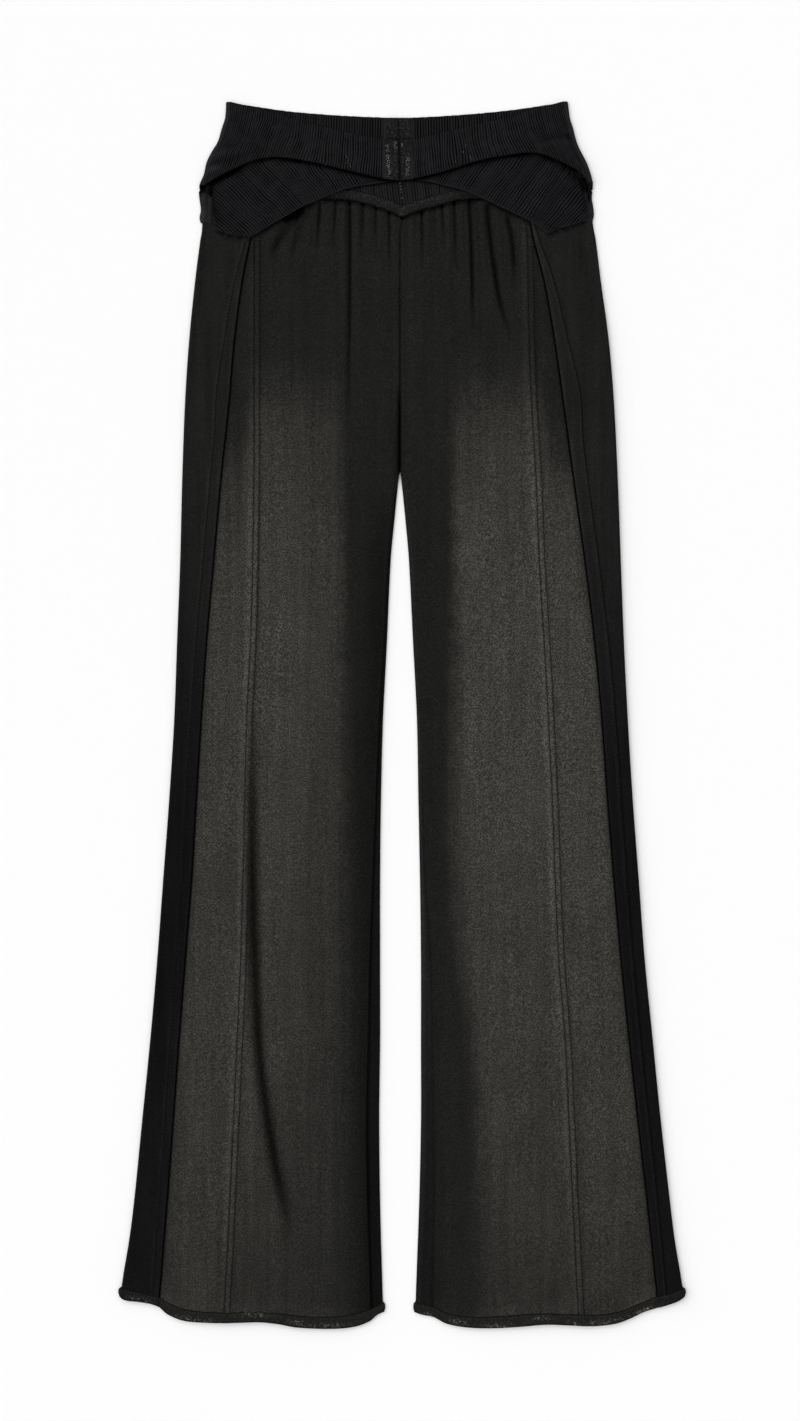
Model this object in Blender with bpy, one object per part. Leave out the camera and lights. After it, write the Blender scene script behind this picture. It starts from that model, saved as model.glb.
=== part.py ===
"""Palazzo pants laid flat on their back with the front upwards: two wide legs of panels,
a ribbed waist band with two hip flaps below it, and hem bands. All lengths are in
millimetres. X runs to the wearer's left, Y up to the waist and Z away from the floor."""

from math import cos, exp, pi, radians, sin

import bmesh
import bpy
from mathutils import Vector

METRES = 0.001
SIDES = {"left": 1, "right": -1}
COLLECTION = "palazzo_pants"

CLOTH_WALL = 1.2
HEM_WALL = 1.5
TAPE_WALL = 1.0
THIN_WALL = 1.0
SEAM_GAP = 0.3
HALF_GAP = SEAM_GAP / 2
HEM_GAP = 0.45

# Heights of inner faces above the floor. The back layer lies on the floor.
HEIGHTS = {
    "seam_edge": 1.9,
    "puff": 1.3,
    "below_yoke": 2.1,
    "yoke": 2.1,
    "piping": 3.65,
    "flap": 5.3,
    "flap_side_drop": 0.75,
    "flap_tucked": 2.1,
    "band_top": 3.1,
    "band_low": 7.2,
    "band_fold": 5.0,
    "fold_at_waist": 2.7,
    "fold": 4.4,
}
SIDE_FOLD_REACH = 2.6
INNER_FOLD_REACH = 1.0
BAND_FOLD_REACH = 3.5
FOLD_ANGLES = (90, 45, 0, -45, -90)
# Rounds of solving for the height along the leg that a slanted line reaches.
PASSES = 8

RIB_PITCH = 2.6
RIB_RISE = 0.4
YOKE_RIB_RISE = 0.25
LAP_ALLOWANCE = 8.0
LAP_RIDGE = 0.35
LAP_RIDGE_WIDTH = 10.0
LAP_RIDGE_ENDS = (455, 430)
BACK_SEAM_INSET = 3.0
PIPING_HALF_WIDTH = 4.8
PIPING_CROWN = 0.3
PIPING_REACH = 96.0
PIPING_LENGTHS = 12
YOKE_REACH = 150.0
YOKE_RIBBED = 62.0
YOKE_PLAIN_COLUMNS = (69.0, 76.0, 85.0, 105.0, YOKE_REACH)
YOKE_TUCK = 4.0
YOKE_HIGHEST = 514.0
YOKE_EASE = (425, 468)
FOLDS_END = (482, 468)
FOLD_EASE = (360, 460)
GATHER_START = 9

CROTCH = 226.0
HEM_START = -400.0
WAIST_LEVEL = 480.0
HEM_LEVEL = -560.0
CROTCH_FOLD = 217.0
LEVELS = (
    WAIST_LEVEL, 462, 438, 400, 330, 238, CROTCH, CROTCH_FOLD, 185, 120, 30,
    -60, -150, -240, -320, HEM_START, -480, HEM_LEVEL,
)

# Columns of the panels' grids: shares of the way across, or distances from the lap.
FRONT_SIDE_SHARES = (0.0, 0.35, 0.7, 1.0)
BACK_SHARES = (0.0, 0.35, 0.7, 1.0)
SIDE_COLUMNS = (
    ("lap", 0.0), ("lap", LAP_RIDGE_WIDTH), ("lap", LAP_RIDGE_WIDTH + 2.5), ("front", 0.6),
    *(("fold", angle) for angle in FOLD_ANGLES), ("back", 0.5), ("back", 1.0),
)

# Lines down each leg: distances from the middle at heights y.
LEG_COLUMNS = ("y", "outer", "lap", "princess")
LEG_ROWS = {
    "right": (
        (485, 190.0, 136.5, 138.0),
        (461, 190.4, 142.7, 138.0),
        (451, 192.1, 145.1, 138.0),
        (413, 196.9, 152.7, 138.0),
        (356, 202.6, 160.3, 138.0),
        (299, 206.4, 165.1, 138.0),
        (223, 209.2, 173.1, 138.2),
        (147, 211.1, 179.8, 138.7),
        (71, 214.0, 186.6, 141.3),
        (-5, 216.8, 191.7, 145.0),
        (-81, 221.6, 196.4, 148.0),
        (-157, 227.3, 200.9, 149.6),
        (-233, 233.0, 206.9, 151.3),
        (-309, 239.6, 212.8, 154.1),
        (-385, 247.2, 218.3, 157.5),
        (-461, 254.8, 224.0, 161.1),
        (-499, 259.6, 227.1, 162.8),
        (-533, 265.3, 229.8, 164.6),
        (-551, 267.6, 231.3, 165.6),
        (-584, 270.0, 233.0, 167.0),
    ),
    "left": (
        (485, 181.0, 119.5, 119.6),
        (468, 181.2, 122.3, 120.6),
        (451, 184.1, 125.8, 121.6),
        (413, 188.8, 135.6, 122.4),
        (356, 196.4, 145.6, 123.3),
        (299, 201.2, 153.7, 125.5),
        (223, 205.0, 163.9, 129.9),
        (147, 207.8, 174.4, 133.7),
        (71, 210.7, 183.6, 137.5),
        (-5, 214.5, 190.6, 141.6),
        (-81, 219.2, 196.0, 145.3),
        (-157, 224.9, 202.1, 149.3),
        (-233, 230.6, 208.8, 153.2),
        (-309, 238.2, 216.6, 157.5),
        (-385, 245.8, 224.8, 161.1),
        (-461, 254.4, 233.5, 164.6),
        (-499, 259.1, 237.6, 166.5),
        (-533, 264.8, 241.1, 168.2),
        (-551, 267.4, 242.9, 169.1),
        (-584, 270.0, 245.5, 171.0),
    ),
}

# The inner edge of each leg below the crotch, and how far the inseam lies inside it.
INNER_COLUMNS = ("y", "edge", "strip")
INNER_ROWS = {
    "right": (
        (CROTCH, 2.1, 4.0),
        (185, 6.9, 4.0),
        (147, 10.7, 4.2),
        (71, 14.5, 4.6),
        (-5, 18.3, 5.0),
        (-81, 20.2, 5.4),
        (-157, 21.1, 6.2),
        (-233, 21.1, 9.0),
        (-309, 21.1, 10.5),
        (-385, 21.9, 11.4),
        (-461, 21.1, 11.2),
        (-542, 18.9, 10.8),
        (-584, 17.5, 10.8),
    ),
    "left": (
        (CROTCH, -1.5, 4.0),
        (185, 3.3, 4.0),
        (147, 6.4, 4.0),
        (71, 10.2, 4.0),
        (-5, 14.0, 4.0),
        (-81, 15.4, 4.2),
        (-157, 16.9, 4.6),
        (-233, 17.8, 8.8),
        (-309, 17.8, 10.4),
        (-385, 17.8, 11.9),
        (-461, 16.2, 14.2),
        (-542, 13.3, 15.8),
        (-584, 12.0, 16.5),
    ),
}

# The middle seams, as X at heights y.
CENTRE_FRONT_ROWS = (
    (226, -1.9), (440, -2.0), (463, -1.7), (473, 0.6), (485, 0.7), (507, -2.1), (548, -3.1),
)
CENTRE_BACK_ROWS = ((226, -1.9), (480, -2.2), (520, -3.1), (570, -3.3))

# The seam from the yoke to the leg panels, and the two edges of each hem band.
YOKE_SEAM = {
    "right": (
        (-0.7, 478.5), (11.6, 483.7), (24.0, 487.9), (37.3, 491.3), (50.0, 493.4),
        (64.0, 494.1), (78.0, 494.0), (105.0, 491.0), (140.0, 485.0), (152.0, 483.5),
    ),
    "left": (
        (0.7, 478.5), (9.7, 482.4), (22.6, 486.1), (35.4, 489.4), (48.2, 492.7),
        (60.0, 494.3), (74.0, 494.1), (105.0, 490.5), (135.0, 485.0), (152.0, 482.5),
    ),
}
SIDE_PANEL_TOP = {
    "right": ((136.0, 471.0), (170.0, 461.2), (186.6, 468.2)),
    "left": ((119.0, 474.0), (158.0, 465.4), (177.3, 469.6)),
}
HEM_TOP = {
    "right": (
        (18.0, -558.0), (26.8, -563.2), (41.1, -567.6), (59.1, -571.0), (86.7, -571.2),
        (114.2, -568.6), (141.8, -566.8), (168.4, -567.4), (190.2, -566.6), (208.3, -563.8),
        (223.5, -557.5), (232.0, -552.6), (241.5, -550.7), (256.0, -546.8), (267.0, -543.4),
    ),
    "left": (
        (12.1, -557.5), (28.7, -562.3), (43.5, -568.3), (70.5, -571.7), (97.6, -570.4),
        (129.0, -568.2), (161.3, -568.9), (188.8, -569.2), (206.9, -566.3), (224.9, -559.4),
        (241.1, -552.6), (258.2, -548.3), (267.0, -543.6),
    ),
}
HEM_LOW = {
    "right": (
        (17.0, -567.0), (24.0, -570.4), (30.6, -576.0), (45.0, -581.2), (68.6, -583.2),
        (100.9, -581.7), (118.0, -578.6), (136.0, -576.8), (159.8, -577.4), (186.4, -577.4),
        (208.3, -575.4), (223.5, -569.2), (233.0, -561.6), (250.0, -557.7), (264.0, -555.7),
        (270.0, -551.0),
    ),
    "left": (
        (10.6, -567.0), (18.0, -569.8), (30.2, -572.4), (41.6, -578.2), (61.5, -581.8),
        (85.3, -582.6), (110.9, -581.2), (135.6, -579.1), (161.3, -579.9), (183.1, -580.5),
        (203.1, -578.2), (216.4, -573.6), (230.6, -567.0), (246.8, -562.3), (262.0, -557.0),
        (270.0, -551.0),
    ),
}
HEM_PROUD = {"side": 2.6, "inner": 1.9}
HEM_ROWS = (0.0, 0.55, 1.0)

# Long soft folds in the front: points down each one, half its width and its rise.
FOLDS = {
    "right": (
        {"path": ((-505, 106.0), (-440, 118.0), (-361, 129.4), (-275, 139.0)),
         "width": 9.0, "rise": -1.3, "fade": 60},
        {"path": ((-330, 136.0), (-175, 142.0), (-5, 139.0), (150, 130.0)),
         "width": 8.0, "rise": -1.1, "fade": 70},
        {"path": ((-500, 128.0), (-380, 146.0), (-240, 156.0)),
         "width": 9.0, "rise": 0.8, "fade": 60},
        {"path": ((-480, 70.0), (-200, 78.0), (60, 84.0)),
         "width": 16.0, "rise": 0.7, "fade": 120},
    ),
    "left": (
        {"path": ((360, 101.0), (415, 92.0), (485, 80.0)),
         "width": 4.5, "rise": -0.9, "fade": 30},
        {"path": ((-520, 78.0), (-300, 66.0), (-100, 60.0)),
         "width": 13.0, "rise": -0.8, "fade": 100},
        {"path": ((-500, 120.0), (-250, 110.0), (50, 98.0)),
         "width": 18.0, "rise": 0.8, "fade": 120},
    ),
}

# Gathers below the yoke: their share of the way from princess seam to middle, the rise
# of each and how far down it reaches.
GATHER_COLUMNS = ("across", "rise", "reach")
GATHER_ROWS = {
    "right": (
        (0.076, 0.5, 60), (0.166, -0.6, 45), (0.262, 0.4, 45), (0.352, -0.4, 30),
        (0.434, 0.4, 35), (0.524, 0.4, 45), (0.579, -0.4, 30), (0.614, 0.4, 60),
        (0.648, -0.9, 190), (0.710, 0.7, 150), (0.814, -0.5, 45), (0.883, 0.2, 40),
        (0.945, 0.6, 50),
    ),
    "left": (
        (0.100, 0.5, 60), (0.178, -0.6, 55), (0.256, 0.5, 70), (0.333, -0.2, 40),
        (0.411, 0.5, 60), (0.480, -0.7, 75), (0.550, 0.5, 60), (0.620, -0.5, 140),
        (0.685, 0.3, 60), (0.760, -0.4, 40), (0.830, 0.4, 50), (0.920, -0.3, 40),
    ),
}

# The waist band: front edges, the side it folds at, and the ribs' ends on both edges.
BAND_TOP = {
    "right": (
        (3.1, 546.4), (17.3, 547.6), (42.0, 551.7), (62.0, 556.4), (81.9, 560.7),
        (102.8, 566.0), (121.8, 572.4), (142.7, 577.9), (162.6, 582.8),
    ),
    "left": (
        (-3.1, 546.4), (11.2, 547.6), (28.3, 551.1), (48.2, 555.9), (68.2, 560.7),
        (88.1, 565.2), (108.1, 570.1), (134.7, 578.3), (152.8, 583.2),
    ),
}
BAND_LOW = {
    "right": (
        (3.0, 507.3), (14.5, 508.6), (34.4, 512.9), (53.4, 517.5), (81.9, 524.2),
        (95.2, 526.6), (117.0, 529.5), (127.0, 529.3), (138.0, 527.3), (148.4, 523.8),
        (169.3, 514.1), (178.8, 509.3), (187.0, 504.6), (194.0, 499.6),
    ),
    "left": (
        (-3.1, 507.2), (6.9, 508.3), (24.5, 512.2), (48.2, 518.6), (65.3, 524.1),
        (81.5, 528.0), (101.4, 531.6), (116.6, 533.6), (127.1, 533.6), (137.5, 531.0),
        (148.0, 526.4), (159.4, 521.2), (167.9, 516.4), (175.0, 509.6), (182.3, 499.8),
    ),
}
BAND_SIDE = {
    "right": (
        (499.0, 194.0), (506.5, 191.8), (514.1, 188.6), (525.5, 186.0), (536.9, 180.4),
        (544.5, 175.6), (559.7, 171.0), (567.3, 168.5), (583.2, 167.4),
    ),
    "left": (
        (499.0, 182.3), (506.5, 181.2), (514.1, 179.3), (525.5, 175.2), (536.9, 169.3),
        (544.5, 166.0), (559.7, 162.0), (567.3, 159.5), (583.2, 157.5),
    ),
}
BAND_BACK_TOP = {
    "right": (
        (3.3, 566.3), (16.4, 566.4), (50.6, 567.8), (81.9, 569.9), (105.7, 572.2),
        (135.1, 576.8), (167.0, 583.0),
    ),
    "left": (
        (-3.3, 566.3), (7.4, 566.3), (28.3, 567.2), (68.2, 569.9), (108.1, 574.3),
        (134.7, 578.7), (157.0, 583.2),
    ),
}
BAND_BACK_LOW = 499.4
BAND_GUIDE_COLUMNS = ("along", "top", "low")
BAND_GUIDES = {
    "right": (
        (0.0, 3.2, 3.2), (0.25, 44.0, 46.0), (0.5, 86.0, 93.0), (0.7, 118.0, 132.0),
        (0.86, 143.0, 163.0), (1.0, 162.6, 189.2),
    ),
    "left": (
        (0.0, -3.0, -3.0), (0.25, 36.0, 38.0), (0.5, 77.0, 84.0), (0.7, 109.0, 123.0),
        (0.86, 134.0, 154.0), (1.0, 152.8, 177.6),
    ),
}
BAND_RAISED = 0.82
BAND_ROWS = (0.0, 0.45, BAND_RAISED, 1.0)
BAND_SIDE_DROP = 0.93
WAIST_TOP = 583.2
BACK_FOLD_PITCH = 11.0
BACK_FOLD_RISE = 0.6
TAPES = {
    "front": {"right": (17.3, 14.5), "left": (10.2, 6.4)},
    "back": {"right": (15.4, 13.5), "left": (7.7, 5.5)},
}
BACK_TAPE_END = 524.0

# The rib lines of each hip flap, from its upper or side edge down to its free edge.
FLAP_GUIDE_COLUMNS = ("upper_d", "upper_y", "lower_d", "lower_y")
FLAP_GUIDES = {
    "right": (
        (4.0, 522.0, 2.3, 507.5),
        (25.0, 525.5, 14.5, 506.2),
        (45.0, 529.0, 26.8, 504.6),
        (65.0, 533.5, 41.6, 502.3),
        (84.0, 538.0, 56.3, 498.9),
        (104.0, 541.0, 68.6, 494.1),
        (126.0, 542.0, 81.9, 488.4),
        (148.0, 537.5, 95.2, 482.7),
        (164.0, 530.0, 108.5, 475.1),
        (175.5, 521.5, 121.8, 467.5),
        (179.8, 503.0, 135.1, 459.3),
        (180.2, 490.0, 143.7, 454.2),
        (179.6, 478.6, 155.1, 455.2),
        (178.4, 469.6, 165.5, 456.3),
        (177.2, 463.2, 175.4, 460.8),
    ),
    "left": (
        (4.0, 522.0, -1.7, 507.5),
        (18.5, 525.0, 9.8, 508.4),
        (39.0, 530.5, 28.3, 506.2),
        (55.0, 535.5, 37.8, 503.4),
        (74.0, 541.0, 48.2, 501.1),
        (88.0, 544.5, 56.8, 498.9),
        (104.0, 547.0, 65.3, 496.0),
        (127.0, 546.0, 81.5, 488.4),
        (148.0, 538.0, 101.4, 478.9),
        (160.0, 528.0, 121.4, 469.4),
        (167.0, 508.0, 130.0, 463.6),
        (171.6, 496.5, 139.0, 457.4),
        (174.2, 489.0, 148.0, 461.8),
        (176.0, 481.5, 161.3, 465.3),
        (177.0, 473.5, 172.7, 469.0),
    ),
}
FLAP_TUCK = 14.0
FLAP_SIDE_GUIDE = 11
FLAP_SIDE_WIDTH = 32
FLAP_BAND_SHARES = (0.25, 0.8)
FLAP_SEARCH_STEPS = 40
BACK_YOKE_EDGE = {
    "right": ((467.0, 191.3), (473.0, 192.8), (480.0, 191.5), (491.0, 192.8), (499.0, 193.6)),
    "left": ((467.0, 180.4), (475.0, 182.2), (483.0, 181.7), (491.0, 180.3), (499.0, 181.0)),
}
BACK_YOKE_TOP = 499.0
BACK_PANEL_TOP = {"right": 468.2, "left": 469.6}
BACK_YOKE_STRIP = {"right": 173.5, "left": 165.0}
BACK_YOKE_STRIP_TOP = {"right": 512.0, "left": 510.0}

MATERIALS = {
    "washed_denim": ((0.052, 0.050, 0.047), 0.85),
    "side_cloth": ((0.010, 0.010, 0.011), 0.75),
    "rib_knit": ((0.014, 0.014, 0.016), 0.7),
    "hem_cloth": ((0.018, 0.018, 0.017), 0.8),
    "tape": ((0.022, 0.022, 0.023), 0.5),
}


def blend(start, end, share):
    return start + (end - start) * share


def step(low, high, value):
    """A smooth step from 0 at low to 1 at high."""
    share = min(1.0, max(0.0, (value - low) / (high - low)))
    return share * share * (3 - 2 * share)


def curve_through(points):
    """A smooth function through points, straight on past both ends."""
    places, values = zip(*sorted(points))
    last = len(places) - 1
    slopes = []
    for at in range(last + 1):
        before, after = max(0, at - 1), min(last, at + 1)
        slopes.append((values[after] - values[before]) / (places[after] - places[before]))

    def value(place):
        if place <= places[0]:
            return values[0] + slopes[0] * (place - places[0])
        if place >= places[last]:
            return values[last] + slopes[last] * (place - places[last])
        at = max(i for i in range(last) if places[i] <= place)
        span = places[at + 1] - places[at]
        t = (place - places[at]) / span
        start = (1 + 2 * t) * (1 - t) ** 2 * values[at] + t * (1 - t) ** 2 * span * slopes[at]
        end = t * t * (3 - 2 * t) * values[at + 1] - t * t * (1 - t) * span * slopes[at + 1]
        return start + end

    return value


def straight_through(points):
    """A function that runs straight from each point to the next."""

    def value(place):
        at = max([i for i in range(len(points) - 1) if points[i][0] <= place] or [0])
        (start, low), (end, high) = points[at], points[at + 1]
        return blend(low, high, (place - start) / (end - start))

    return value


def curves_of(columns, rows):
    """A smooth curve for each named column, over the first column."""
    return {
        name: curve_through([(row[0], row[at]) for row in rows])
        for at, name in enumerate(columns)
        if at
    }


LEGS = {side: curves_of(LEG_COLUMNS, LEG_ROWS[side]) for side in SIDES}
INNERS = {side: curves_of(INNER_COLUMNS, INNER_ROWS[side]) for side in SIDES}
BAND_RIBS = {side: curves_of(BAND_GUIDE_COLUMNS, BAND_GUIDES[side]) for side in SIDES}
CENTRE_FRONT = curve_through(CENTRE_FRONT_ROWS)
CENTRE_BACK = curve_through(CENTRE_BACK_ROWS)
YOKE_LINES = {side: curve_through(YOKE_SEAM[side]) for side in SIDES}
SIDE_TOPS = {side: straight_through(SIDE_PANEL_TOP[side]) for side in SIDES}
HEM_TOPS = {side: curve_through(HEM_TOP[side]) for side in SIDES}
HEM_LOWS = {side: curve_through(HEM_LOW[side]) for side in SIDES}
BAND_TOPS = {side: curve_through(BAND_TOP[side]) for side in SIDES}
BAND_LOWS = {side: curve_through(BAND_LOW[side]) for side in SIDES}
BAND_SIDES = {side: curve_through(BAND_SIDE[side]) for side in SIDES}
BAND_BACK_TOPS = {side: curve_through(BAND_BACK_TOP[side]) for side in SIDES}
YOKE_EDGES = {side: curve_through(BACK_YOKE_EDGE[side]) for side in SIDES}


def centre(side, y, seam=CENTRE_FRONT):
    """The distance from the middle at which a piece of this side stops at its seam."""
    return SIDES[side] * seam(y) + HALF_GAP


def inner_edge(side, y):
    return INNERS[side]["edge"](min(y, CROTCH))


def inseam(side, y):
    """The inner boundary of the front: the middle seam, and the inseam below it."""
    if y > CROTCH_FOLD + 1:
        return centre(side, y)
    return inner_edge(side, y) + INNERS[side]["strip"](y) + HALF_GAP


def fold_height(fold, d, y):
    """What one long fold adds to the height at a place."""
    ends = sorted(point[0] for point in fold["path"])
    fade = fold["fade"]
    along = step(ends[0] - fade / 3, ends[0] + fade, y)
    along *= step(ends[-1] + fade / 3, ends[-1] - fade, y)
    if along == 0:
        return 0.0
    offset = (d - curve_through(fold["path"])(y)) / fold["width"]
    return fold["rise"] * along * exp(-offset * offset)


def front_height(side, d, y):
    """The height of the front layer's inner face above the floor."""
    lap = LEGS[side]["lap"](y)
    inner = inseam(side, y)
    across = min(1.0, max(0.0, (d - inner) / (lap - inner)))
    lying = HEIGHTS["seam_edge"] + HEIGHTS["puff"] * sin(pi * across) ** 0.7
    folds = sum(fold_height(fold, d, y) for fold in FOLDS[side]) * step(0.0, 0.12, across)
    folds *= step(1.0, 0.88, across)
    below_yoke = step(*YOKE_EASE, y)
    return blend(lying, HEIGHTS["below_yoke"], below_yoke) + folds * step(*FOLDS_END, y)


def fold_top(y):
    """The height of the inner face over the side folds."""
    return blend(HEIGHTS["fold"], HEIGHTS["fold_at_waist"], step(*FOLD_EASE, y))


def side_height(side, d, y):
    """The height of the side panel's inner face, from its lap to its fold."""
    lap = LEGS[side]["lap"](y)
    over_lap = front_height(side, lap, y) + CLOTH_WALL + LAP_RIDGE
    share = step(lap + LAP_ALLOWANCE, LEGS[side]["outer"](y) - SIDE_FOLD_REACH, d)
    return blend(over_lap, fold_top(y), share)


def level_y(level, top, hem):
    """The height along the leg of one of the levels, between its own top and hem."""
    if level > CROTCH:
        return CROTCH + (level - CROTCH) / (WAIST_LEVEL - CROTCH) * (top - CROTCH)
    if level < HEM_START:
        return HEM_START - (HEM_START - level) / (HEM_START - HEM_LEVEL) * (HEM_START - hem)
    return level


def on_leg(line, level, top, hem):
    """Where a line down the leg meets a level: its distance from the middle and its y."""
    y = level
    for _ in range(PASSES):
        d = line(y)
        y = level_y(level, top(d), hem(d))
    return d, y


def turned(angle, edge, reach, top, wall, floor=0.0, outwards=1):
    """Inner and outer points of a fold, as distance and height, at an angle round it."""
    low = floor + wall
    half = (top - low) / 2
    middle = edge - outwards * (wall + reach)
    over, rise = cos(radians(angle)), sin(radians(angle))
    inner = (middle + outwards * reach * over, low + half + half * rise)
    outer = (middle + outwards * (reach + wall) * over, low + half + (half + wall) * rise)
    return inner, outer


def inner_fold(side, angle, edge, wall):
    """Inner and outer points of a fold round the inner edge of a leg."""
    return turned(angle, edge, INNER_FOLD_REACH, HEIGHTS["seam_edge"], wall, outwards=-1)


def make_wall(name, material, columns, rows, place, keep=None):
    """A closed cloth wall: a grid with its inner face at place()[0], and the outer face
    drawn out of it to place()[1]. keep() says which squares of the grid are cloth."""
    bm = bmesh.new()
    across, down = len(columns) - 1, len(rows) - 1
    bmesh.ops.create_grid(bm, x_segments=across, y_segments=down, size=0.5)

    def cell(point):
        return round((point.x + 0.5) * across), round((point.y + 0.5) * down)

    if keep:
        spare = []
        for face in bm.faces:
            middle = face.calc_center_median()
            i = int((middle.x + 0.5) * across)
            j = int((middle.y + 0.5) * down)
            if not keep(columns[i], rows[j], rows[j + 1]):
                spare.append(face)
        bmesh.ops.delete(bm, geom=spare, context="FACES")
    drawn = bmesh.ops.extrude_face_region(bm, geom=bm.faces[:], use_keep_orig=True)
    outer = {item for item in drawn["geom"] if isinstance(item, bmesh.types.BMVert)}
    for vert in bm.verts:
        i, j = cell(vert.co)
        points = place(columns[i], rows[j])
        vert.co = Vector(points[1] if vert in outer else points[0]) * METRES
    bmesh.ops.recalc_face_normals(bm, faces=bm.faces[:])
    mesh = bpy.data.meshes.new(name)
    bm.to_mesh(mesh)
    bm.free()
    mesh.materials.append(material)
    obj = bpy.data.objects.new(name, mesh)
    bpy.data.collections[COLLECTION].objects.link(obj)
    return obj


def gathers_of(side):
    """The gathers with the two plain edges of the front panel, from seam to middle."""
    gathers = [dict(zip(GATHER_COLUMNS, row)) for row in GATHER_ROWS[side]]
    plain = {"rise": 0.0, "reach": 1.0}
    return [{"across": 0.0, **plain}, *gathers, {"across": 1.0, **plain}]


def front_line(side, across):
    """The front panel's line at a share of the way from princess seam to middle."""
    return lambda y: blend(LEGS[side]["princess"](y) - HALF_GAP, inseam(side, y), across)


def front_side_line(side, share, allowance=0.0):
    """A line between the princess seam and the lap, or past it by an allowance."""
    princess, lap = LEGS[side]["princess"], LEGS[side]["lap"]
    return lambda y: blend(princess(y) + HALF_GAP, max(lap(y), princess(y) + 1.0), share) + allowance


def side_line(side, kind, value):
    """A line down the side panel: from its lap, or a share of the way to its fold."""
    leg = LEGS[side]

    def fold_start(y):
        return leg["outer"](y) - CLOTH_WALL - SIDE_FOLD_REACH

    def line(y):
        if kind == "lap":
            return leg["lap"](y) + value
        if kind == "front":
            return blend(leg["lap"](y) + LAP_RIDGE_WIDTH, fold_start(y), value)
        return blend(fold_start(y), leg["lap"](y) + BACK_SEAM_INSET + HALF_GAP, value)

    return line


def back_line(side, share):
    """A line down the back panel, from its side seam to the middle or the inner fold."""

    def line(y):
        start = LEGS[side]["lap"](y) + BACK_SEAM_INSET - HALF_GAP
        inner = inner_edge(side, y) + CLOTH_WALL + INNER_FOLD_REACH
        end = centre(side, y, CENTRE_BACK) if y > CROTCH_FOLD + 1 else inner
        return blend(start, end, share)

    return line


def flat_back(side, d, y, wall=CLOTH_WALL):
    """Inner and outer points of a wall that lies on the floor."""
    return (SIDES[side] * d, y, wall), (SIDES[side] * d, y, 0.0)


def raised(side, d, y, height, wall=CLOTH_WALL):
    """Inner and outer points of a wall whose inner face is at a height."""
    return (SIDES[side] * d, y, height), (SIDES[side] * d, y, height + wall)


def on_fold(side, fold, y):
    """Inner and outer points of a turned wall."""
    (inner_d, inner_z), (outer_d, outer_z) = fold
    return (SIDES[side] * inner_d, y, inner_z), (SIDES[side] * outer_d, y, outer_z)


def make_front_panel(side, material):
    """The front from the princess seam to the middle, with gathers below the yoke."""

    def top(d):
        return YOKE_LINES[side](d) - HALF_GAP

    def place(column, level):
        d, y = on_leg(front_line(side, column["across"]), level, top, HEM_TOPS[side])
        below = top(d) - PIPING_HALF_WIDTH - y
        rise = column["rise"] * step(0, GATHER_START, below)
        rise *= step(column["reach"], column["reach"] * 0.3, below)
        return raised(side, d, y, front_height(side, d, y) + rise)

    make_wall(f"front_panel_{side}", material, gathers_of(side), LEVELS, place)


def make_front_side_panel(side, material):
    """The narrow front panel from the princess seam to just under the side panel."""
    columns = [(share, 0.0) for share in FRONT_SIDE_SHARES] + [(1.0, LAP_ALLOWANCE)]

    def top(d):
        return YOKE_LINES[side](d) - HALF_GAP

    def place(column, level):
        d, y = on_leg(front_side_line(side, *column), level, top, HEM_TOPS[side])
        return raised(side, d, y, front_height(side, d, y))

    make_wall(f"front_side_panel_{side}", material, columns, LEVELS, place)


def make_side_panel(side, material):
    """The dark panel that laps over the front and turns round the side to the back."""

    def back_top(d):
        return BACK_PANEL_TOP[side]

    def place(column, level):
        kind, value = column
        if kind == "fold":
            edge = LEGS[side]["outer"]
            start = side_line(side, "front", 1.0) if value else edge
            y = on_leg(start, level, back_top, HEM_TOPS[side])[1]
            fold = turned(value, edge(y), SIDE_FOLD_REACH, fold_top(y), CLOTH_WALL)
            return on_fold(side, fold, y)
        top = back_top if kind == "back" else SIDE_TOPS[side]
        d, y = on_leg(side_line(side, kind, value), level, top, HEM_TOPS[side])
        if kind == "back":
            return flat_back(side, d, y)
        on_ridge = kind == "lap" and value <= LAP_RIDGE_WIDTH
        ridge = LAP_RIDGE * step(*LAP_RIDGE_ENDS, y) if on_ridge else 0.0
        return raised(side, d, y, side_height(side, d, y), CLOTH_WALL + ridge)

    make_wall(f"side_panel_{side}", material, SIDE_COLUMNS, LEVELS, place)


def make_back_panel(side, material):
    """The back of the leg. Below the crotch it turns round the inner edge to the inseam."""
    columns = [("back", share) for share in BACK_SHARES]
    columns += [("fold", angle) for angle in FOLD_ANGLES[-2::-1]]
    columns += [("strip", 1.0)]

    def top(d):
        return BACK_PANEL_TOP[side]

    def seam(y):
        return inseam(side, min(y, CROTCH_FOLD)) - SEAM_GAP

    def place(column, level):
        kind, value = column
        if kind == "back":
            return flat_back(side, *on_leg(back_line(side, value), level, top, HEM_TOPS[side]))
        if kind == "fold":
            y = on_leg(back_line(side, 1.0), level, top, HEM_TOPS[side])[1]
            fold = inner_fold(side, value, inner_edge(side, y), CLOTH_WALL)
            return on_fold(side, fold, y)
        d, y = on_leg(seam, level, top, HEM_TOPS[side])
        return raised(side, d, y, HEIGHTS["seam_edge"])

    def keep(column, upper, lower):
        return column[0] == "back" and column[1] < 1.0 or upper <= CROTCH_FOLD

    make_wall(f"back_panel_{side}", material, columns, LEVELS, place, keep)


def hem_ys(side, panel_d, hem_d, share):
    """Across a hem band: from just below the panel's end to the band's own free edge."""
    return blend(HEM_TOPS[side](panel_d) - HEM_GAP, HEM_LOWS[side](hem_d), share)


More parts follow.
